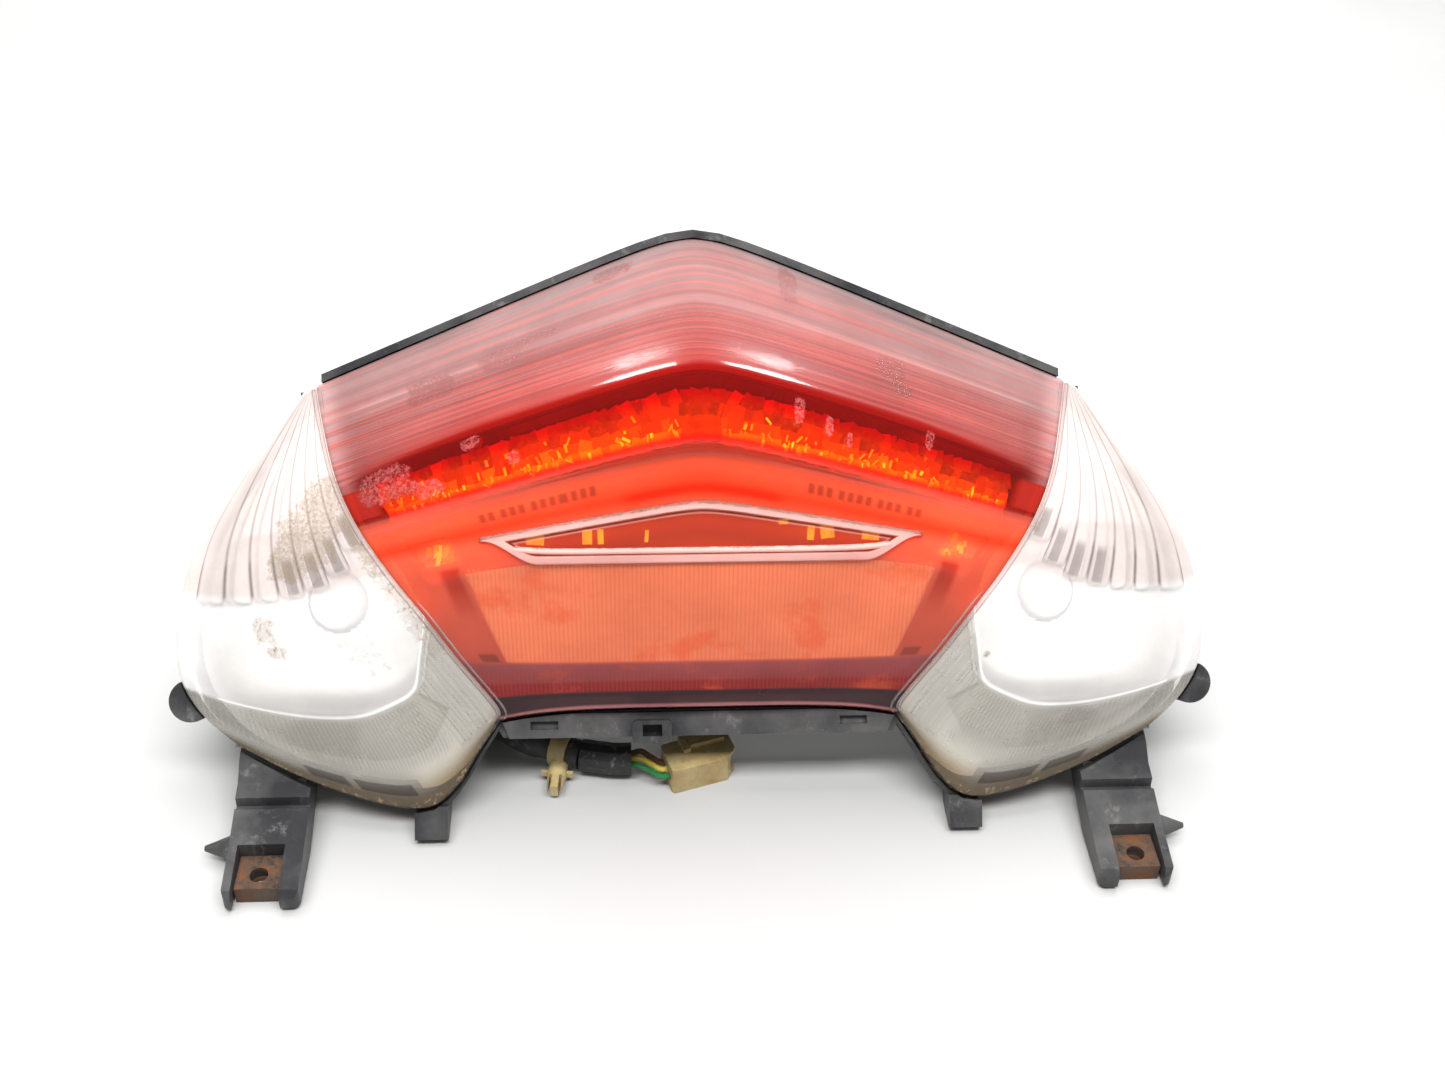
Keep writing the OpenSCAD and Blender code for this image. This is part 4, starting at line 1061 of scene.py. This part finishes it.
def make_led_reflectors():
    gap = TAIL_XS[1] - TAIL_XS[0]
    cups = [led_cup(x, float(tail_v(x)), gap / 2 - 0.5, 3.2, 18.0, 21.5) for x in TAIL_XS]
    metal = bright_metal("led_metal", (1.0, 0.80, 0.42), (0.08, 0.2), (1.0, 0.55, 0.2))
    verts, faces = joined(cups)
    mesh_piece("tail_led_cups", world(verts), faces, "lamp", metal, ["led_reflector"], 12)


def make_brake_optic():
    """Fluted panel behind the brake face, with a plain sheet above it behind the window."""
    flutes = 104
    across = flutes * 6 + 1
    t, f = spread(np.linspace(0, 1, 14), np.linspace(-1, 1, across))
    half = mix(61.0, 50.0, t)
    v = mix(-8.6, -34.0, t)
    w = mix(38.5 - 6.4, 20.5 - 6.4, t)
    flute = np.abs(np.sin(f * flutes * math.pi / 2))
    fade = smooth(t / 0.08) * smooth((1 - t) / 0.06)
    top = np.stack([f * half, v, w - 0.9 + 0.9 * flute * fade], -1)
    under = np.stack([f * half, v - 0.8, w - 2.6], -1)
    verts, faces = closed_sheet(top, under)
    milky = diffuser("brake_optic", (0.93, 0.84, 0.78), (0.97, 0.93, 0.90))
    mesh_piece("brake_optic_flutes", world(verts), faces, "lamp", milky, ["brake_optic"], 30)


def make_chamber_wall():
    """Pale chamber wall behind the face under the nose, sunk behind the window."""
    k, a = spread(np.linspace(6.6, 11.3, 80), 0.95 * np.linspace(-1, 1, 161))
    top = inward(red_at(a, k), np.full(a.shape, 6.5))
    x, v = top[..., 0], top[..., 1]
    behind = (smooth((window_high(x) + 0.6 - v) / 0.5) * smooth((v - window_low(x) + 0.6) / 0.5)
              * (np.abs(x) < 56))
    top[..., 2] -= 7.0 * behind
    under = inward(red_at(a, k), np.full(a.shape, 15.5))
    verts, faces = closed_sheet(top, under)
    layers = {"flow": twice(np.stack([a, k, 0 * k], -1)), "step": twice(smooth(1.4 * behind))}
    s = Shader("chamber_metal")
    broad = s.flow(2.2, 4, 0.6, (1, 1.4, 1))
    colour = s.blend(s.remap(broad, 0.35, 0.65), (0.80, 0.62, 0.55), (1.0, 0.93, 0.82))
    # Painted shade: the part sunk behind the window is painted a darker orange-red.
    colour = s.blend(s.layer("step"), colour, (1.0, 0.46, 0.30))
    metal = s.surface(colour, s.remap(broad, 0.3, 0.7, 0.3, 0.45), metallic=0.3)
    mesh_piece("chamber_wall", world(verts), faces, "lamp", metal, (), 30, layers)


def sparkle(name):
    """Prism facets in painted glint colours: each facet has its own colour and glows in it by emission."""
    s = Shader(name)
    colour = s.layer("glint", "Color")
    fine = s.noise(500, 4, 0.6)
    shade = s.blend(s.remap(fine, 0.4, 0.7, 0, 0.35), colour, (0.55, 0.05, 0.0))
    # The emission is a painted glow of glints.
    node = s.node("ShaderNodeBsdfPrincipled", {
        "Base Color": shade, "Roughness": s.remap(fine, 0.3, 0.7, 0.12, 0.3), "Metallic": 0.3,
        "Emission Color": shade, "Emission Strength": 1.1})
    return s.done(node.outputs[0])


def facet_block(at, size, turn, slope):
    """Small wedge with a slanted top: corners in the lamp frame."""
    hx, hv, depth = size
    c, n = math.cos(turn), math.sin(turn)
    corners = [(-hx, -hv), (hx, -hv), (hx, hv), (-hx, hv)]
    rise = [-slope[0] - slope[1], slope[0] - slope[1], slope[0] + slope[1], -slope[0] + slope[1]]
    top = [(at[0] + x * c - v * n, at[1] + x * n + v * c, at[2] + r) for (x, v), r in zip(corners, rise)]
    low = [(p[0], p[1], at[2] - depth) for p in top]
    faces = [(0, 1, 2, 3), (7, 6, 5, 4), (0, 4, 5, 1), (1, 5, 6, 2), (2, 6, 7, 3), (3, 7, 4, 0)]
    return np.array(top + low, float), faces


# Painted glint and reflection colours of the facets, from dark shade to yellow glint.
GLINTS = {"dark": (0.22, 0.015, 0.005), "deep": (0.42, 0.03, 0.0), "red": (0.72, 0.07, 0.005),
          "warm": (0.97, 0.15, 0.01), "orange": (1.0, 0.22, 0.01), "amber": (1.0, 0.42, 0.03),
          "yellow": (1.0, 0.85, 0.12)}


def make_prism_band():
    """Band of prisms that spreads the tail LEDs' light, just behind the nose: its facets carry painted
    reflections, dark above and orange below, and small bright facets are painted glints.
    """
    random = np.random.default_rng(7)
    parts, glints = [], []

    def prism(a, k, size, turn, slope, depth, word):
        p = inward(red_at(np.array(a), np.array(k)), depth)
        q = inward(red_at(np.array(a + 0.01), np.array(k)), depth)
        along = math.atan2(q[1] - p[1], q[0] - p[0])
        parts.append(facet_block(p, size + (1.6,), along + turn, slope))
        shade = np.array(GLINTS[word]) * random.uniform(0.75, 1.1)
        glints.extend([tuple(np.clip(shade, 0, 1))] * 8)

    cells = 66
    for i in range(cells):
        a = -0.93 + 1.86 * (i + 0.5) / cells
        centre = abs(a) < 0.05
        hot = i % 5 in (1, 2)
        # Rows from top to bottom: painted dark reflections above, painted orange glow below.
        for k, half_v, words in ((4.42, 1.6, ("dark", "dark", "deep")), (4.8, 1.6, ("dark", "deep", "deep")),
                                 (5.2, 1.6, ("deep", "red", "warm" if hot else "red")),
                                 (5.62, 1.5, ("warm", "orange", "orange" if hot else "warm"))):
            place = a + random.uniform(-0.006, 0.006)
            turn = random.choice((-0.4, -0.1, 0.1, 0.3))
            slope = (random.uniform(-0.3, 0.3), random.uniform(-0.5, 0.5))
            depth = random.uniform(6.2, 6.9)
            word = ("dark", "deep")[int(k > 5)] if centre else words[random.integers(3)]
            prism(place, k, (1.9, half_v + 0.5), turn, slope, depth, word)
    # Small bright facets: painted glints.
    for _ in range(150):
        a = random.uniform(-0.92, 0.92)
        if abs(a) > 0.06:
            k = random.triangular(4.6, 5.6, 5.8)
            size = (random.uniform(0.15, 0.4), random.uniform(0.4, 1.2))
            word = ("yellow", "amber", "orange", "amber")[random.integers(4)]
            prism(a, k, size, random.choice((-0.6, -0.2, 0, 0, 0.3, 0.9)), (0.1, 0.2), 5.4, word)
    verts, faces = joined(parts)
    mesh_piece("tail_prism_band", world(verts), faces, "lamp", sparkle("prism_glints"), (), 20,
               {"glint": np.array(glints)})


def make_brake_glints():
    """Reflector facets round the brake LEDs and at both ends of the window, in painted glint colours that
    glow.
    """
    random = np.random.default_rng(11)
    parts, glints = [], []
    # x and v of each, with its half sizes
    spots = [(-45, 1.4, 2.4, 1.4), (-31, 2.0, 1.3, 2.0), (-27.4, 2.0, 0.8, 2.0), (29.5, 2.4, 0.9, 2.0),
             (-15, 2, 0.5, 1.6), (34, 2.6, 1.8, 1.8), (46, 1.6, 2.3, 1.4), (-54, 1.2, 0.9, 0.9),
             (55, 1.2, 0.9, 0.9), (22, 5.4, 1.2, 0.7)]
    for x, v, half_x, half_v in spots:
        w = float(face_w(np.array(float(x)), np.array(float(v)))) - 3.4
        parts.append(facet_block((x, v, w), (half_x, half_v, 1.0), random.uniform(-0.1, 0.1), (0.2, 0.3)))
        glints += [(1.0, 0.92, 0.10)] * 8
    for side in (-1, 1):
        for i in range(9):
            a = side * (0.80 + 0.07 * random.random())
            k = 9.75 + 0.9 * random.random()
            p = inward(red_at(np.array(a), np.array(k)), 4.2)
            parts.append(facet_block(p, (0.3 + 0.6 * random.random(), 0.9 + 1.1 * random.random(), 1.0),
                                     side * random.uniform(-0.2, 0.6), (0.3, 0.3)))
            glints += [[(1.0, 0.34, 0.03), (1.0, 0.70, 0.08), (1.0, 0.24, 0.02)][i % 3]] * 8
        for i in range(8):
            x = side * (54.0 + 1.35 * i)
            w = float(face_w(np.array(x), np.array(-7.6))) - 3.2
            parts.append(facet_block((x, -7.6 + 0.12 * i, w), (0.28, 0.7, 0.6), 0, (0, 0)))
            glints += [(1.0, 0.75, 0.06)] * 8
    verts, faces = joined(parts)
    mesh_piece("brake_glints", world(verts), faces, "lamp", sparkle("brake_glint"), (), 20,
               {"glint": np.array(glints)})


make_deck_reflector()
make_led_reflectors()
make_brake_optic()
make_chamber_wall()
make_prism_band()
make_brake_glints()


# ---- Signal reflectors and bulbs ----

def bowl_dip(x, v):
    d = (np.abs((x - 109) / 33) ** 4 + np.abs((v + 20) / 25) ** 4) ** 0.25
    return 1 - smooth((d - 0.55) / 0.45)


def make_signal_reflector(side, name):
    rows, cols = 130, 120
    i, j = spread(np.linspace(0, 1, rows), np.linspace(0, 1, cols))
    p = clear_at(0.15 + 7.6 * i, 0.02 + 0.94 * j)
    top = inward(p, np.full(i.shape, 5.0))
    top[..., 2] -= 30 * bowl_dip(top[..., 0], top[..., 1])
    under = top - [0, 0, 1.2]
    keep = np.hypot(top[..., 0] - BULB[0], top[..., 1] - BULB[1]) > 8.9
    verts, faces = closed_sheet(top, under)
    m = rows * cols
    kept = keep.ravel()
    solid = [f for f in faces if all(kept[n % m] for n in f)]
    # Walls round the bulb hole: every edge that only one kept top face uses inside the grid
    count = {}
    for f in solid:
        if all(n < m for n in f):
            for a, b in zip(f, f[1:] + f[:1]):
                count[(a, b)] = count.get((a, b), 0) + 1
    for (a, b) in list(count):
        if (b, a) not in count:
            ra, ca, rb, cb = a // cols, a % cols, b // cols, b % cols
            outside = (ra == rb and ra in (0, rows - 1)) or (ca == cb and ca in (0, cols - 1))
            if not outside:
                solid.append((b, a, a + m, b + m))
    verts = verts * [side, 1, 1]
    metal = bright_metal(name + "_metal", (0.98, 0.98, 0.98), (0.25, 0.4), (0.93, 0.93, 0.92), 0.05, 0.15)
    mesh_piece(name + "_bowl", world(verts), solid, "lamp", metal, [name], 40)


def make_bulb(side, name):
    body = "left_holder" if side < 0 else "right_holder"
    ball = [(8.6 * math.cos(math.radians(g)), -13 + 8.6 * math.sin(math.radians(g)))
            for g in range(-40, 90, 6)]
    profile = [(0.02, -27), (5.4, -27), (5.8, -24)] + ball + [(0.02, -4.4)]
    verts, faces = turned(profile, BULB, 48)
    verts = np.asarray(verts) * [side, 1, 1]
    amber = glass(name + "_amber", (0.999, 0.985, 0.97), 0.75)
    mesh_piece(name + "_envelope", world(verts), faces, body, amber, [name], 60)


for side, word in ((-1, "left"), (1, "right")):
    make_signal_reflector(side, word + "_signal_reflector")
    make_bulb(side, word + "_bulb_glass")


# ---- Carried-over CAD nodes get their materials ----

def dress(material, *names):
    for name in names:
        node = frame["nodes"][name]
        for item in node.material_slots:
            item.material = material
        if not node.material_slots:
            node.data.materials.append(material)


black = moulded_plastic("black_housing", (0.009, 0.009, 0.010), (0.038, 0.038, 0.042), dusty=0.22)
dress(black, "housing", "left_bracket_leg", "right_bracket_leg")
dress(rusty_metal("rusty_steel"), "left_foot_clip", "right_foot_clip")
dress(zinc("zinc_screw"), "leg_screws", "cover_screws")
dress(soft_vinyl("seal_foam", (0.03, 0.03, 0.032), (0.08, 0.08, 0.08)), "lens_seal")
dress(circuit_board("board"), "led_board")
dress(glowing_led("led"), "tail_led_row", "brake_led_row")
dress(zinc("bulb_brass", (0.62, 0.5, 0.25)), "left_bulb_base", "right_bulb_base")
dress(moulded_plastic("holder_plastic", (0.03, 0.03, 0.03), (0.09, 0.09, 0.09)),
      "left_bulb_holder", "right_bulb_holder")
rubber = soft_vinyl("seal_rubber", (0.01, 0.01, 0.01), (0.035, 0.035, 0.035))
dress(rubber, "left_holder_seal", "right_holder_seal", "breather_caps", "harness_grommet")
dress(moulded_plastic("cover_plastic", (0.02, 0.02, 0.022), (0.06, 0.06, 0.062)), "rear_cover")
dress(zinc("terminal", (0.7, 0.62, 0.4)), "connector_terminals")
cream = nylon("cream_nylon", (0.44, 0.36, 0.18), (0.30, 0.20, 0.08))
dress(cream, "cable_clip", "connector_shell")
dress(soft_vinyl("end_sleeve_vinyl", (0.008, 0.008, 0.009), (0.03, 0.03, 0.03)), "harness_end_sleeve")


# ---- The wires ----

WIRE_COLOURS = {"green": ((0.01, 0.10, 0.03), (0.03, 0.22, 0.07)),
                "yellow": ((0.55, 0.42, 0.05), (0.75, 0.6, 0.12)),
                "brown": ((0.10, 0.045, 0.02), (0.2, 0.09, 0.04))}


def make_wires():
    wires = []
    for i, (word, (dark, light)) in zip((-1, 0, 1), WIRE_COLOURS.items()):
        route = [(-20, -28 + 2.2 * i, 5.5), (-17, -28.6 + 2.6 * i, 6 + 0.5 * i),
                 (-14, -30.6 + 2.9 * i, 5.6), (-11, -32.4 + 2.9 * i, 5.2), (-8, -31.5 + 2.9 * i, 5)]
        verts, faces = swept(spline_path(route, 50) * MM, 0.9 * MM, 14)
        replaced = ["harness_wires"] if i == 0 else []
        wires.append(mesh_piece(word + "_wire", verts, faces, "lamp", soft_vinyl(word + "_wire", dark, light),
                                replaced))
    return wires


wires = make_wires()
